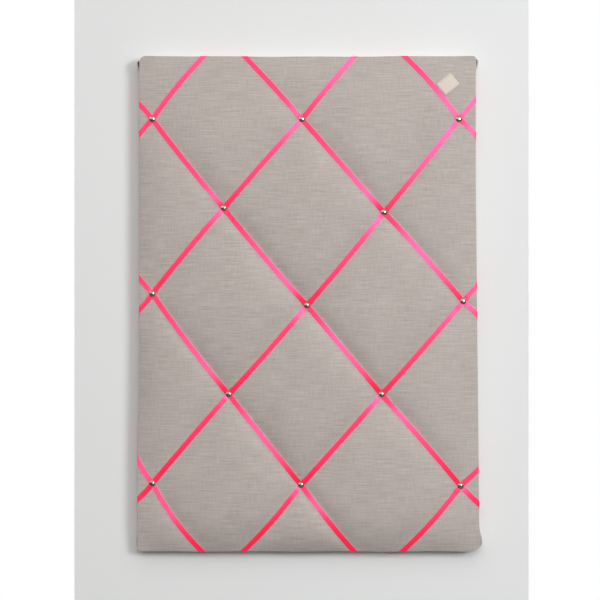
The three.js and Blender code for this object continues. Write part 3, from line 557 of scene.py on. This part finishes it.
def run_rows(start, start_dip, end, end_dip, bow):
    """Rows of points of a ribbon between two nails, without the two on the nails."""
    length = np.linalg.norm(end - start)
    share = np.linspace(0, 1, round(length / RIBBON_STEP) + 1)
    centre = bowed(start, end, bow, share)
    heading = np.gradient(centre, axis=0)
    heading /= np.linalg.norm(heading, axis=1, keepdims=True)
    left = np.stack([-heading[:, 1], heading[:, 0]], axis=-1)
    x = centre[:, :1] + left[:, :1] * ACROSS
    z = centre[:, 1:] + left[:, 1:] * ACROSS
    dip = sag(share * length, length, start_dip, end_dip)
    return on_front(x, z, dip[:, None])[1:-1]


def end_rows(nail, exit_at, bow, staple):
    """Rows of a ribbon from its last nail to the edge, round the side and to its stapled end on the back.

    They are laid out on the unrolled cloth, by the length travelled outwards and the place along the edge.
    """
    edge, _ = exit_at
    outward = EDGES[edge]
    along = np.array([-outward[1], outward[0]])
    rim = exit_place(*exit_at)
    inset = (rim - nail.place) @ outward
    drift = (rim - nail.place) @ along
    length = np.hypot(inset, drift)

    # The run to the rim, and the length of cloth travelled outwards along it.
    fine = (1 - np.linspace(0, 1, END_SAMPLES)) ** 2
    line = bowed(nail.place, rim, bow, 1 - fine)
    dips = sag((1 - fine) * length, length, nail.dip, EXIT_DIPS[edge])
    heights = on_front(line[:, 0], line[:, 1], dips)[:, 1]
    insets = (rim - line) @ outward
    travelled = np.concatenate([[0], np.cumsum(np.hypot(np.diff(insets), np.diff(heights)))])
    on_face = travelled[-1]

    # How far outwards each row lies, and how far sideways it has gone there.
    steps = np.arange(RIBBON_STEP, on_face - RIM_BAND - ROW_GAP, RIBBON_STEP)
    over_rim = np.arange(-RIM_BAND, RIM_BAND, RIM_STEP)
    down_side = DOWN_SIDE[DOWN_SIDE > RIM_BAND]
    travel = np.concatenate([steps, on_face + over_rim, on_face + down_side, on_face + ROUND_BACK[:-1]])
    share = np.clip(travel / on_face, 0, 1)
    straight = -drift * (1 - share)
    swerve = np.interp(travel, travelled, (line - nail.place) @ along - drift * (1 - insets / inset))
    shift = (staple - rim) @ along
    sideways = straight + swerve + shift * np.clip((travel - on_face) / SIDE_DEPTH, 0, 1)
    slope = np.gradient(sideways, travel)
    stretch = np.hypot(1, slope)
    out = travel[:, None] - (slope / stretch)[:, None] * ACROSS
    lateral = sideways[:, None] + ACROSS / stretch[:, None]
    row_dip = np.interp(travel, travelled, dips)[:, None]

    # The points of the rows, on the face and past the rim.
    inward = np.interp(out, travelled, insets)
    inward = np.where(out < 0, inset - out, inward)
    face_place = rim - inward[..., None] * outward + lateral[..., None] * along
    face = on_front(face_place[..., 0], face_place[..., 1], row_dip)
    past_inward, past_depth = edge_turn(np.clip(out - on_face, 0, None))
    past_place = rim - past_inward[..., None] * outward + lateral[..., None] * along
    past = np.stack([past_place[..., 0], past_depth, past_place[..., 1]], axis=-1)
    return np.where((out > on_face)[..., None], past, face)


def nail_row(nail, heading):
    """The row of points where a ribbon lies flat under a nail."""
    heading = heading / np.linalg.norm(heading)
    x = nail.place[0] - heading[1] * ACROSS
    z = nail.place[1] + heading[0] * ACROSS
    return on_front(x, z, nail.dip)[None]


def ribbon_points(plan, staples, lift):
    """All rows of a ribbon, lifted off the linen by their gap and, near the nails, over the other ribbon."""
    first, numbers, last, bows = plan
    runs = ribbon_runs(plan)
    pinned = [nails[number] for number in numbers]
    parts = [end_rows(pinned[0], first, bows[0], staples[0])[::-1, ::-1]]
    for k, nail in enumerate(pinned):
        before = runs[k][2] - runs[k][0]
        after = runs[k + 1][2] - runs[k + 1][0]
        parts.append(nail_row(nail, before / np.linalg.norm(before) + after / np.linalg.norm(after)))
        if k + 1 < len(pinned):
            parts.append(run_rows(*runs[k + 1]))
    parts.append(end_rows(pinned[-1], last, bows[-1], staples[1]))
    rows = by_hand(np.concatenate(parts))
    along = np.gradient(rows, axis=0)
    sideways = np.gradient(rows, axis=1)
    normal = np.cross(sideways, along)
    normal /= np.linalg.norm(normal, axis=-1, keepdims=True)
    centre = rows[:, len(ACROSS) // 2][:, [0, 2]]
    nearest = np.min([np.linalg.norm(centre - nail.place, axis=1) for nail in pinned], axis=0)
    ease = np.clip((nearest - LIFT_FLAT) / LIFT_EASE, 0, 1)
    rise = RIBBON_GAP + lift * (0.5 + 0.5 * np.cos(math.pi * ease))
    return rows + normal * rise[:, None, None]


# Polyester satin: long floats of thread along the ribbon, so its gloss is drawn out across it, with a magenta
# gleam where it turns to the light, and a firmer woven edge. Its dye is fluorescent. That extra red is
# painted
# light: the front, where the lamps fall, is given a red glow, so it looks redder than a plain red could. The
# 0.2 mm threads are drawn at 0.5 mm.
SATIN_THREAD = 0.5 * MM
SATIN_SHADE = 30 * MM
EDGE_SHARE = 0.07
# Painted light: strength of the red glow given to the ribbon's front, where the lamps fall.
PAINTED_GLOW = 0.35
GLOW_FROM = -0.3  # the surface normal's Y where the painted glow starts
GLOW_FULL = -0.9  # and where the painted glow is full
satin, tree, shader = start_material(
    "satin_ribbon_hot_pink",
    Roughness=0.46,
    Anisotropic=0.91,
    IOR=2.2,
    Specular_IOR_Level=1.0,
    Specular_Tint=linear("#ffaeff"),
    # colour of the painted red glow, an emission standing in for light on the front
    Emission_Color=linear("#ff0a30"),
)
on_ribbon = add_node(tree, "ShaderNodeUVMap", {}, uv_map="ribbon").outputs[0]
parts = add_node(tree, "ShaderNodeSeparateXYZ", {"Vector": on_ribbon})
thread_scale = (1 / SATIN_THREAD, 1 / SATIN_SHADE, 1.0)
floats = add_node(tree, "ShaderNodeMapping", {"Vector": on_ribbon, "Scale": thread_scale})
thread = add_node(tree, "ShaderNodeTexNoise", {"Vector": floats.outputs[0], "Scale": 1.0, "Detail": 2.0})
tones = {0: thread.outputs[0], 6: linear("#ff1038"), 7: linear("#ff224e")}
tint = add_node(tree, "ShaderNodeMix", tones, data_type="RGBA")
from_middle = add_node(tree, "ShaderNodeMath", {0: parts.outputs[0]}, operation="ABSOLUTE")
at_edge = add_node(
    tree,
    "ShaderNodeMapRange",
    {0: from_middle.outputs[0], 1: RIBBON_W * (0.5 - EDGE_SHARE), 2: RIBBON_W * 0.5},
)
tones = {0: at_edge.outputs[0], 6: tint.outputs[2], 7: linear("#f82850")}
edged = add_node(tree, "ShaderNodeMix", tones, data_type="RGBA")
tree.links.new(edged.outputs[2], shader.inputs["Base Color"])
grain = add_node(
    tree, "ShaderNodeBump", {"Height": thread.outputs[0], "Strength": 0.06, "Distance": 0.1 * MM}
)
tree.links.new(grain.outputs[0], shader.inputs["Normal"])
normal = add_node(tree, "ShaderNodeNewGeometry", {}).outputs["Normal"]
facing = add_node(tree, "ShaderNodeSeparateXYZ", {"Vector": normal})
# Painted light: the glow is full where the surface faces the front, towards the lamps, and fades to nothing
# on the sides.
front_glow = add_node(
    tree, "ShaderNodeMapRange", {0: facing.outputs["Y"], 1: GLOW_FROM, 2: GLOW_FULL, 3: 0.0, 4: PAINTED_GLOW}
)
tree.links.new(front_glow.outputs[0], shader.inputs["Emission Strength"])
across_ribbon = add_node(tree, "ShaderNodeTangent", {}, direction_type="UV_MAP", uv_map="ribbon")
tree.links.new(across_ribbon.outputs[0], shader.inputs["Tangent"])


def add_ribbon(name, node, rows):
    """A strip of satin through its rows of points, with its own map across and along, in metres."""
    count, width = rows.shape[:2]
    mesh = smooth_mesh(name, rows.reshape(-1, 3), grid_faces(count, width))
    middle = rows[:, width // 2]
    run = np.concatenate([[0], np.cumsum(np.linalg.norm(np.diff(middle, axis=0), axis=1))])
    flat = np.stack([np.tile(ACROSS, count), np.repeat(run, width)], axis=-1)
    corners = np.empty(len(mesh.loops), dtype=int)
    mesh.loops.foreach_get("vertex_index", corners)
    mesh.uv_layers.new(name="ribbon").data.foreach_set("uv", flat[corners].ravel())
    return thicken(add_piece(name, mesh, satin, [node]), RIBBON_T, 1)


staple_number = 1
families = [("falling", "fall", FALLING, 0.0), ("rising", "rise", RISING, NAIL_LIFT)]
for family, nodes, plans, lift in families:
    for k, plan in enumerate(plans, 1):
        ends = []
        for number in (staple_number, staple_number + 1):
            low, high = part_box(f"ribbon_staple_{number}")
            ends.append(np.array([(low.x + high.x) / 2, (low.z + high.z) / 2]))
        add_ribbon(f"ribbon_{family}_{k}", f"ribbon_{nodes}_{k}", ribbon_points(plan, ends, lift))
        staple_number += 2

# Staples: wide-crown wire staples, one across the end of each ribbon on the back, driven through the
# turned-in linen into the panel. Galvanised wire, so grey with a dull gleam.
ZINC_SPANGLE = 1.2 * MM
zinc, tree, shader = start_material("zinc_galvanised_wire", Metallic=1.0)
spangle = mottle(tree, shader, ZINC_SPANGLE, "#9a9da0", "#c6c8c9", Detail=3.0)
dulled = add_node(tree, "ShaderNodeMapRange", {0: spangle, 3: 0.28, 4: 0.5})
tree.links.new(dulled.outputs[0], shader.inputs["Roughness"])
for number in range(1, staple_number):
    dress(f"ribbon_staple_{number}", zinc)

# Nails: domed upholstery nails, pressed from steel and nickel-plated, driven through both ribbons where they
# cross. The head has a turned-under rim, and the shank is drawn to a point.
NAIL_SIDES = 40
NAIL_HEAD_R = 4 * MM
NAIL_CROWN_R = 0.02 * MM
NAIL_RIM_H = 0.45 * MM
NAIL_RIM = [(0, 0.3), (0.06, 0.1), (0.25, 0), (0.7, 0.1)]  # millimetres in from the edge and up from the foot
NAIL_HOLLOW = 0.2 * MM
NAIL_SHANK_R = 0.8 * MM
NAIL_POINT = 1.6 * MM
NAIL_TIP_R = 0.1 * MM
DOME_STEPS = 14
DOME_SHAPE = 2.3  # 2 is an ellipse, more is flatter on top and rounder at the shoulder


def turned(profile, sides):
    """Points and faces of a shape turned about Y, from its radius and depth at each step."""
    points = []
    for radius, depth in profile:
        for k in range(sides):
            angle = 2 * math.pi * k / sides
            points.append((radius * math.cos(angle), depth, -radius * math.sin(angle)))
    loops = [[step * sides + k for k in range(sides)] for step in range(len(profile))]
    caps = [tuple(reversed(loops[0])), tuple(loops[-1])]
    return points, loop_faces(loops) + caps


def nail_profile(length):
    """Radius and depth down a nail, from the crown of its head to its point."""
    dome_h = NAIL_HEAD_H - NAIL_RIM_H
    dome = []
    for k in range(1, DOME_STEPS + 1):
        share = math.sin(0.5 * math.pi * k / DOME_STEPS)
        drop = 1 - (1 - share**DOME_SHAPE) ** (1 / DOME_SHAPE)
        dome.append((NAIL_HEAD_R * share, dome_h * drop))
    rim = [(NAIL_HEAD_R - inward * MM, NAIL_HEAD_H - up * MM) for inward, up in NAIL_RIM]
    shank = [
        (NAIL_SHANK_R, NAIL_HEAD_H - NAIL_HOLLOW),
        (NAIL_SHANK_R, length - NAIL_POINT),
        (NAIL_TIP_R, length),
    ]
    return [(NAIL_CROWN_R, 0), *dome, *rim, *shank]


# Nickel plate: bright and slightly warm, polished, with fine rub marks that spread its gleam a little.
NICKEL_RUB = 0.6 * MM
nickel, tree, shader = start_material("nickel_plate_polished", Metallic=1.0, Base_Color=linear("#d2cbbd"))
place = add_node(tree, "ShaderNodeTexCoord", {}).outputs["Object"]
rub = add_node(tree, "ShaderNodeTexNoise", {"Vector": place, "Scale": 1 / NICKEL_RUB, "Detail": 4.0})
worn = add_node(tree, "ShaderNodeMapRange", {0: rub.outputs[0], 3: 0.17, 4: 0.24})
tree.links.new(worn.outputs[0], shader.inputs["Roughness"])
for number, nail in nails.items():
    points, faces = turned(nail_profile(nail.tip - nail.front), NAIL_SIDES)
    placed = np.array(points) + (nail.place[0], nail.front, nail.place[1])
    add_piece(f"nail_{number}", smooth_mesh("nail", placed, faces), nickel, [f"stud_{number}"])

# Label: a small piece of cream cotton tape beside the top right ribbon, left bare, and sewn to the linen by a
# running stitch round its edge.
LABEL_W = 18 * MM
LABEL_L = 22.5 * MM
LABEL_T = 0.4 * MM
LABEL_LIFT = 0.25 * MM
LABEL_GAP = 0.3 * MM  # from the ribbon's edge
LABEL_FROM_NAIL = 0.405  # share of the way from the nail to the edge
LABEL_SIGHT = 0.02  # share of the way back, from where the ribbon's direction is taken
LABEL_STEPS = 12
LABEL_CURL = 0.9 * MM
LABEL_CURL_FROM = 0.7  # share of the length that lies flat
STITCH_INSET = 1.7 * MM
STITCH_PITCH = 2.6 * MM
STITCH_L = 1.7 * MM
STITCH_R = 0.22 * MM
STITCH_SINK = 0.7  # share of its radius that a stitch is drawn in
STITCH_END = 0.35  # share of its girth at the ends
STITCH_STEPS = 7
STITCH_SIDES = 6
label_nail = nails[3].place
label_exit = exit_place(*FALLING[0][0])
label_shares = np.array([LABEL_FROM_NAIL - LABEL_SIGHT, LABEL_FROM_NAIL])
label_run = bowed(label_nail, label_exit, FALLING[0][3][0], label_shares)
label_before, label_place = label_run
up_ribbon = (label_place - label_before) / np.linalg.norm(label_place - label_before)
off_ribbon = np.array([up_ribbon[1], -up_ribbon[0]])


def on_label(across, away, lift):
    """A place on the label, across it and away from the ribbon, lifted off the linen."""
    spot = label_place + across * up_ribbon + (RIBBON_W / 2 + LABEL_GAP + away) * off_ribbon
    x, z = np.split(spot, 2)
    face = by_hand(on_front(x, z, dip_at(x, z)))[0]
    curl = LABEL_CURL * max(0.0, away / LABEL_L - LABEL_CURL_FROM) * (2 * across / LABEL_W) ** 2
    return face - np.array([0, lift + curl, 0])


# Cotton tape: creamy, matt, with a close even weave. Its 0.4 mm threads are drawn at 0.9 mm, to show.
TAPE_THREAD = 0.9 * MM
cotton, tree, shader = start_material("cotton_tape_cream", Roughness=0.9, Specular_IOR_Level=0.2)
on_cloth = add_node(tree, "ShaderNodeAttribute", {}, attribute_name="cloth").outputs["Vector"]
checks = mottle(tree, shader, TAPE_THREAD, "#d3c5b8", "#f1e5da", place=on_cloth, Detail=3.0)
nub = add_node(tree, "ShaderNodeBump", {"Height": checks, "Strength": 0.3, "Distance": 0.2 * MM})
tree.links.new(nub.outputs[0], shader.inputs["Normal"])

points = []
cloth = []
for away in np.linspace(0, LABEL_L, LABEL_STEPS):
    for across in np.linspace(-LABEL_W / 2, LABEL_W / 2, LABEL_STEPS):
        points.append(on_label(across, away, LABEL_LIFT))
        cloth.append((across, away))
faces = [tuple(reversed(face)) for face in grid_faces(LABEL_STEPS, LABEL_STEPS)]
mesh = cloth_mesh("label", np.array(points), faces, np.array(cloth))
label = thicken(add_piece("label", mesh, cotton, ["label_patch"]), LABEL_T, 1)

points = []
faces = []
half_across = LABEL_W / 2 - STITCH_INSET
near = STITCH_INSET
far = LABEL_L - STITCH_INSET
seam = [(-half_across, near), (half_across, near), (half_across, far), (-half_across, far)]
for corner, after in zip(seam, seam[1:] + seam[:1]):
    line = np.subtract(after, corner)
    length = np.linalg.norm(line)
    for k in range(round(length / STITCH_PITCH)):
        middle = (k + 0.5) * STITCH_PITCH
        loops = []
        for step in np.linspace(-1, 1, STITCH_STEPS):
            spot = np.array(corner) + line / length * (middle + step * STITCH_L / 2)
            hump = math.sqrt(max(0.0, 1 - step**2))
            core = on_label(*spot, LABEL_LIFT + LABEL_T + STITCH_R * (hump - STITCH_SINK))
            heading = (line[0] * up_ribbon + line[1] * off_ribbon) / length
            side = np.array([-heading[1], 0, heading[0]])
            first = len(points)
            for turn in range(STITCH_SIDES):
                angle = 2 * math.pi * turn / STITCH_SIDES
                girth = STITCH_R * max(STITCH_END, hump)
                spoke = math.cos(angle) * side + math.sin(angle) * np.array([0, -1, 0])
                points.append(core + girth * spoke)
            loops.append([first + turn for turn in range(STITCH_SIDES)])
        faces += loop_faces(loops) + [tuple(reversed(loops[0])), tuple(loops[-1])]

# Cotton thread: two-ply, matt, a shade darker than the tape, with its twist as a fine change of tone.
THREAD_TWIST = 0.5 * MM
cotton_thread, tree, shader = start_material("cotton_thread_cream", Roughness=0.85, Specular_IOR_Level=0.25)
mottle(tree, shader, THREAD_TWIST, "#a99c88", "#d3c8b5", Detail=2.0)
mesh = smooth_mesh("label_stitches", points, faces)
label_stitches = add_piece("label_stitches", mesh, cotton_thread)

# Back lining: a sheet of dark wool felt, cut with a window round each hanger and glued over the turned-in
# linen, so that the board's back is neat and doesn't mark the wall.
lining_low, lining_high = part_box("back_lining")
LINING_CORNER_R = 4 * MM
LINING_EDGE_R = 0.5 * MM
LINING_EDGE_STEPS = 3
WINDOW_CORNER_R = 3 * MM
WINDOW_GAP = 2.5 * MM
ARC_STEPS = 8


def rounded_outline(centre, width, height, radius):
    """Points round a rectangle with round corners, in X and Z."""
    points = []
    for quarter, (side, end) in enumerate(((1, 1), (-1, 1), (-1, -1), (1, -1))):
        for step in range(ARC_STEPS + 1):
            angle = (quarter + step / ARC_STEPS) * math.pi / 2
            x = centre[0] + side * (width / 2 - radius) + radius * math.cos(angle)
            z = centre[1] + end * (height / 2 - radius) + radius * math.sin(angle)
            points.append((x, z))
    return points


# Wool felt: dark warm grey, no weave, short matted fibres that cloud its tone and soften its edge.
FELT_FIBRE = 2.2 * MM
wool, tree, shader = start_material(
    "wool_felt_grey", Roughness=1.0, Specular_IOR_Level=0.1, Sheen_Weight=0.25, Sheen_Roughness=0.6
)
matting = mottle(
    tree, shader, FELT_FIBRE, "#554f4a", "#8d857d", Detail=8.0, Roughness=0.7, Distortion=1.2
)
nap = add_node(tree, "ShaderNodeBump", {"Height": matting, "Strength": 0.5, "Distance": 0.5 * MM})
tree.links.new(nap.outputs[0], shader.inputs["Normal"])

windows = []
for side in ("left", "right"):
    strap_low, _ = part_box(f"hanger_strap_{side}")
    ring_low, ring_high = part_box(f"hanger_ring_{side}")
    middle = ((ring_low.x + ring_high.x) / 2, (strap_low.z + ring_high.z) / 2)
    width = ring_high.x - ring_low.x + 2 * WINDOW_GAP
    height = ring_high.z - strap_low.z + 2 * WINDOW_GAP
    windows.append(rounded_outline(middle, width, height, WINDOW_CORNER_R))
lining_size = (lining_high.x - lining_low.x, lining_high.z - lining_low.z)
outlines = [rounded_outline((0, 0), *lining_size, LINING_CORNER_R), *windows]
curve = bpy.data.curves.new("back_lining", "CURVE")
curve.dimensions = "2D"
curve.fill_mode = "BOTH"
curve.extrude = (lining_high.y - lining_low.y) / 2 - LINING_EDGE_R
curve.bevel_depth = LINING_EDGE_R
curve.bevel_resolution = LINING_EDGE_STEPS
curve.offset = -LINING_EDGE_R
for outline in outlines:
    spline = curve.splines.new("POLY")
    spline.points.add(len(outline) - 1)
    spline.use_cyclic_u = True
    for point, (x, z) in zip(spline.points, outline):
        point.co = (x, z, 0, 1)
drawn = bpy.data.objects.new("lining_outline", curve)
bpy.context.scene.collection.objects.link(drawn)
mesh = bpy.data.meshes.new_from_object(drawn.evaluated_get(bpy.context.evaluated_depsgraph_get()))
bpy.data.objects.remove(drawn)
bpy.data.curves.remove(curve)
mesh.name = "back_lining"
for vertex in mesh.vertices:
    x, z, y = vertex.co
    vertex.co = (x, (lining_low.y + lining_high.y) / 2 - y, z)
mesh.materials.clear()
back_lining = add_piece("felt_lining", mesh, wool, ["back_lining"])

# Hangers: two D-rings, each in a strap of bright steel that is folded double round the ring's bar and held by
# a pan-head screw. The rings turn in their straps.
WIRE_SIDES = 16
RING_STRAIGHT = 4 * MM
RING_BEND_R = 2.4 * MM
RING_END_GAP = 0.8 * MM
BEND_STEPS = 8
BOW_STEPS = 40
SCREW_SIDES = 32
# Radius and depth from the top of a screw's head to its foot, in millimetres.
SCREW_HEAD = [(0.2, 0), (1.2, 0.03), (2.0, 0.14), (2.6, 0.4), (2.92, 0.8), (3, 1.2), (3, 1.6)]
SCREW_HEAD_H = SCREW_HEAD[-1][1] * MM
SCREW_SHANK_R = 1.45 * MM
SCREW_POINT = 1.8 * MM
SCREW_TIP_R = 0.1 * MM

# Bright steel: cold-rolled and zinc-plated, with fine rolling lines along the strap, drawn 0.3 mm apart to
# show.
ROLLING_LINE = 0.3 * MM
ROLLING_RUN = 12 * MM
steel, tree, shader = start_material("steel_bright_plated", Metallic=1.0, Base_Color=linear("#c3c5c7"))
place = add_node(tree, "ShaderNodeTexCoord", {}).outputs["Object"]
lines = add_node(
    tree,
    "ShaderNodeMapping",
    {"Vector": place, "Scale": (1 / ROLLING_LINE, 1 / ROLLING_LINE, 1 / ROLLING_RUN)},
)
rolled = add_node(tree, "ShaderNodeTexNoise", {"Vector": lines.outputs[0], "Scale": 1.0, "Detail": 3.0})
gleam = add_node(tree, "ShaderNodeMapRange", {0: rolled.outputs[0], 3: 0.2, 4: 0.42})
tree.links.new(gleam.outputs[0], shader.inputs["Roughness"])


def tube(path, radius, sides):
    """Points and faces of a closed-ended wire along a path in the plane of X and Z."""
    heading = np.gradient(path, axis=0)
    heading /= np.linalg.norm(heading, axis=1, keepdims=True)
    points = []
    for centre, along in zip(path, heading):
        side = np.array([along[2], 0, -along[0]])
        for k in range(sides):
            angle = 2 * math.pi * k / sides
            points.append(centre + radius * (math.cos(angle) * side + math.sin(angle) * np.array([0, 1, 0])))
    loops = [[step * sides + k for k in range(sides)] for step in range(len(path))]
    return points, loop_faces(loops) + [tuple(reversed(loops[0])), tuple(loops[-1])]


def arc(centre, radius, start, end, steps):
    """Points of an arc in X and Z, from one angle to another in degrees."""
    angles = np.radians(np.linspace(start, end, steps))
    return [(centre[0] + radius * math.cos(a), 0, centre[1] + radius * math.sin(a)) for a in angles]


def ring_path(bend_r):
    """The middle of the ring's wire, from one end in the strap round the D to the other end."""
    side = bend_r - RING_BEND_R
    return np.array(
        [
            (RING_END_GAP / 2, 0, 0),
            (side / 2, 0, 0),
            *arc((side, RING_BEND_R), RING_BEND_R, -90, 0, BEND_STEPS),
            *arc((0, RING_STRAIGHT), bend_r, 0, 180, BOW_STEPS),
            *arc((-side, RING_BEND_R), RING_BEND_R, 180, 270, BEND_STEPS),
            (-side / 2, 0, 0),
            (-RING_END_GAP / 2, 0, 0),
        ]
    )


for side in ("left", "right"):
    dress(f"hanger_strap_{side}", steel)
    low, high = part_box(f"hanger_ring_{side}")
    wire_r = (high.y - low.y) / 2
    bend_r = (high.x - low.x) / 2 - wire_r
    points, faces = tube(ring_path(bend_r), wire_r, WIRE_SIDES)
    bar = ((low.x + high.x) / 2, (low.y + high.y) / 2, low.z + wire_r)
    mesh = smooth_mesh("d_ring", np.array(points) + bar, faces)
    add_piece(f"d_ring_{side}", mesh, steel, [f"hanger_ring_{side}"], body=f"ring_{side}")

    low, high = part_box(f"hanger_screw_{side}")
    length = high.y - low.y
    head = [(radius * MM, depth * MM) for radius, depth in SCREW_HEAD]
    shank = [(SCREW_SHANK_R, SCREW_HEAD_H), (SCREW_SHANK_R, length - SCREW_POINT), (SCREW_TIP_R, length)]
    points, faces = turned(head + shank, SCREW_SIDES)
    placed = np.array(points) * (-1, -1, 1) + ((low.x + high.x) / 2, high.y, (low.z + high.z) / 2)
    mesh = smooth_mesh("pan_head_screw", placed, faces)
    add_piece(f"pan_head_screw_{side}", mesh, steel, [f"hanger_screw_{side}"])

# Stage: a pale painted wall behind the board, seen only from its front, and a grey floor well below. The wall
# throws no shadow, so that the board's back is lit too.
WALL_LEFT = -282 * MM
WALL_RIGHT = 267 * MM
WALL_REACH = 0.9
WALL_Y = 0.5 * MM
FLOOR_Z = -0.9
FLOOR_REACH = 3.0


def stage_sheet(name, corners, material):
    """A flat sheet of the stage."""
    sheet = bpy.data.objects.new(name, smooth_mesh(name, corners, [(0, 1, 2, 3)]))
    bpy.context.scene.collection.objects.link(sheet)
    sheet.data.materials.append(material)
    return sheet


# Matt emulsion paint: an even pale grey with a hardly seen roller texture.
PAINT_STIPPLE = 4 * MM
paint, tree, shader = start_material(
    "emulsion_paint_pale", Roughness=0.95, Specular_IOR_Level=0.1, Base_Color=linear("#e9eaea")
)
place = add_node(tree, "ShaderNodeTexCoord", {}).outputs["Object"]
stipple = add_node(tree, "ShaderNodeTexNoise", {"Vector": place, "Scale": 1 / PAINT_STIPPLE, "Detail": 2.0})
roller = add_node(
    tree, "ShaderNodeBump", {"Height": stipple.outputs[0], "Strength": 0.05, "Distance": 0.2 * MM}
)
tree.links.new(roller.outputs[0], shader.inputs["Normal"])
seen_from = add_node(tree, "ShaderNodeNewGeometry", {}).outputs["Backfacing"]
clear = add_node(tree, "ShaderNodeBsdfTransparent", {})
one_sided = add_node(tree, "ShaderNodeMixShader", {0: seen_from, 1: shader.outputs[0], 2: clear.outputs[0]})
tree.links.new(one_sided.outputs[0], tree.nodes["Material Output"].inputs["Surface"])
wall_corners = [
    (WALL_LEFT, WALL_Y, -WALL_REACH),
    (WALL_RIGHT, WALL_Y, -WALL_REACH),
    (WALL_RIGHT, WALL_Y, WALL_REACH),
    (WALL_LEFT, WALL_Y, WALL_REACH),
]
wall = stage_sheet("wall", wall_corners, paint)
wall.visible_shadow = False

# Sealed concrete: mid-grey and matt, with wide soft clouds.
FLOOR_CLOUD = 0.35
concrete, tree, shader = start_material("concrete_sealed_grey", Roughness=0.8, Specular_IOR_Level=0.2)
mottle(tree, shader, FLOOR_CLOUD, "#5c5955", "#6e6a65", Detail=5.0)
floor_corners = [
    (-FLOOR_REACH, -FLOOR_REACH, FLOOR_Z),
    (FLOOR_REACH, -FLOOR_REACH, FLOOR_Z),
    (FLOOR_REACH, FLOOR_REACH, FLOOR_Z),
    (-FLOOR_REACH, FLOOR_REACH, FLOOR_Z),
]
stage_sheet("floor", floor_corners, concrete)

# Lamps: softboxes, and light off the ceiling, fall on the cloth and the wall, mostly from the upper right.
# The cards are seen only in the polished metal and the satin. One softbox stands behind, for the back.


def soft_lamp(name, place, size, watts, tone):
    """A square softbox turned towards the middle of the board."""
    lamp = bpy.data.lights.new(name, "AREA")
    lamp.size = size
    lamp.energy = watts
    lamp.color = linear(tone)[:3]
    holder = bpy.data.objects.new(name, lamp)
    bpy.context.scene.collection.objects.link(holder)
    holder.location = place
    holder.rotation_euler = (-Vector(place)).to_track_quat("-Z", "Y").to_euler()
    return holder


softboxes = [
    soft_lamp("key_softbox", (2.01, -2.77, 0.73), 1.1, 57.0, "#f6fbfe"),
    soft_lamp("left_softbox", (-1.95, -2.59, 1.31), 0.9, 3.0, "#fbfcff"),
    soft_lamp("overhead_softbox", (0, -3.6, 1.1), 1.5, 26.8, "#fffcf9"),
    soft_lamp("ceiling_bounce", (0, -4.6, 3.9), 6.0, 140.0, "#fffcf9"),
]
cards = [
    soft_lamp("right_card", (1.08, -3.26, 0.68), 0.7, 32.0, "#fffdfa"),
    soft_lamp("right_high_card", (2.2, -1.85, 1.7), 0.9, 5.0, "#fffdfa"),
    soft_lamp("left_high_card", (-2.34, -1.79, 1.71), 0.9, 12.0, "#fbfcff"),
    soft_lamp("ceiling_card", (-0.1, -2.2, 1.4), 2.4, 10.0, "#ffffff"),
]
for softbox in softboxes:
    softbox.visible_glossy = False
for card in cards:
    card.visible_diffuse = False
soft_lamp("back_softbox", (0.6, 1.9, 0.9), 1.0, 30.0, "#ffffff")

# Surroundings: a dim studio, lighter overhead than below, and a white backdrop behind the board. The camera
# sees white all round, and polished metal sees the backdrop.
SKY_FROM = -0.15  # the upward part of a direction where the studio starts to grow lighter
SKY_FULL = 0.5
world = bpy.data.worlds.new("studio")
bpy.context.scene.world = world
world.use_nodes = True
tree = world.node_tree
surround = tree.nodes["Background"]
direction = add_node(tree, "ShaderNodeTexCoord", {}).outputs["Generated"]
towards = add_node(tree, "ShaderNodeSeparateXYZ", {"Vector": direction})
lift = add_node(tree, "ShaderNodeMapRange", {0: towards.outputs["Z"], 1: SKY_FROM, 2: SKY_FULL})
tones = {0: lift.outputs[0], 6: linear("#2e2720"), 7: linear("#8c8c8a")}
sky = add_node(tree, "ShaderNodeMix", tones, data_type="RGBA")
ray = add_node(tree, "ShaderNodeLightPath", {})
indirect = {0: ray.outputs["Is Glossy Ray"], 1: ray.outputs["Is Transmission Ray"]}
mirrored = add_node(tree, "ShaderNodeMath", indirect, operation="MAXIMUM")
behind = add_node(tree, "ShaderNodeMath", {0: towards.outputs["Y"], 1: 0.0}, operation="GREATER_THAN")
backdrop = add_node(
    tree, "ShaderNodeMath", {0: mirrored.outputs[0], 1: behind.outputs[0]}, operation="MULTIPLY"
)
white = add_node(
    tree, "ShaderNodeMath", {0: ray.outputs["Is Camera Ray"], 1: backdrop.outputs[0]}, operation="MAXIMUM"
)
shown = add_node(
    tree, "ShaderNodeMix", {0: white.outputs[0], 6: sky.outputs[2], 7: (1, 1, 1, 1)}, data_type="RGBA"
)
tree.links.new(shown.outputs[2], surround.inputs["Color"])

# Camera: straight on, a little to the left of the board's middle and above it.
FRAME_PIXELS = 600
PIXEL = 1.1976 * MM  # on the board, at the edge of its front
CAMERA_X = -9.3 * MM
CAMERA_Z = 4.6 * MM
CAMERA_BACK = 2.2
SENSOR = 36.0
lens = bpy.data.cameras.new("camera")
lens.sensor_width = SENSOR
lens.lens = SENSOR * CAMERA_BACK / (FRAME_PIXELS * PIXEL)
camera = bpy.data.objects.new("camera", lens)
bpy.context.scene.collection.objects.link(camera)
camera.location = (CAMERA_X, RIM_Y - CAMERA_BACK, CAMERA_Z)
camera.rotation_euler = (math.pi / 2, 0, 0)
bpy.context.scene.camera = camera
bpy.context.scene.view_settings.view_transform = "Standard"
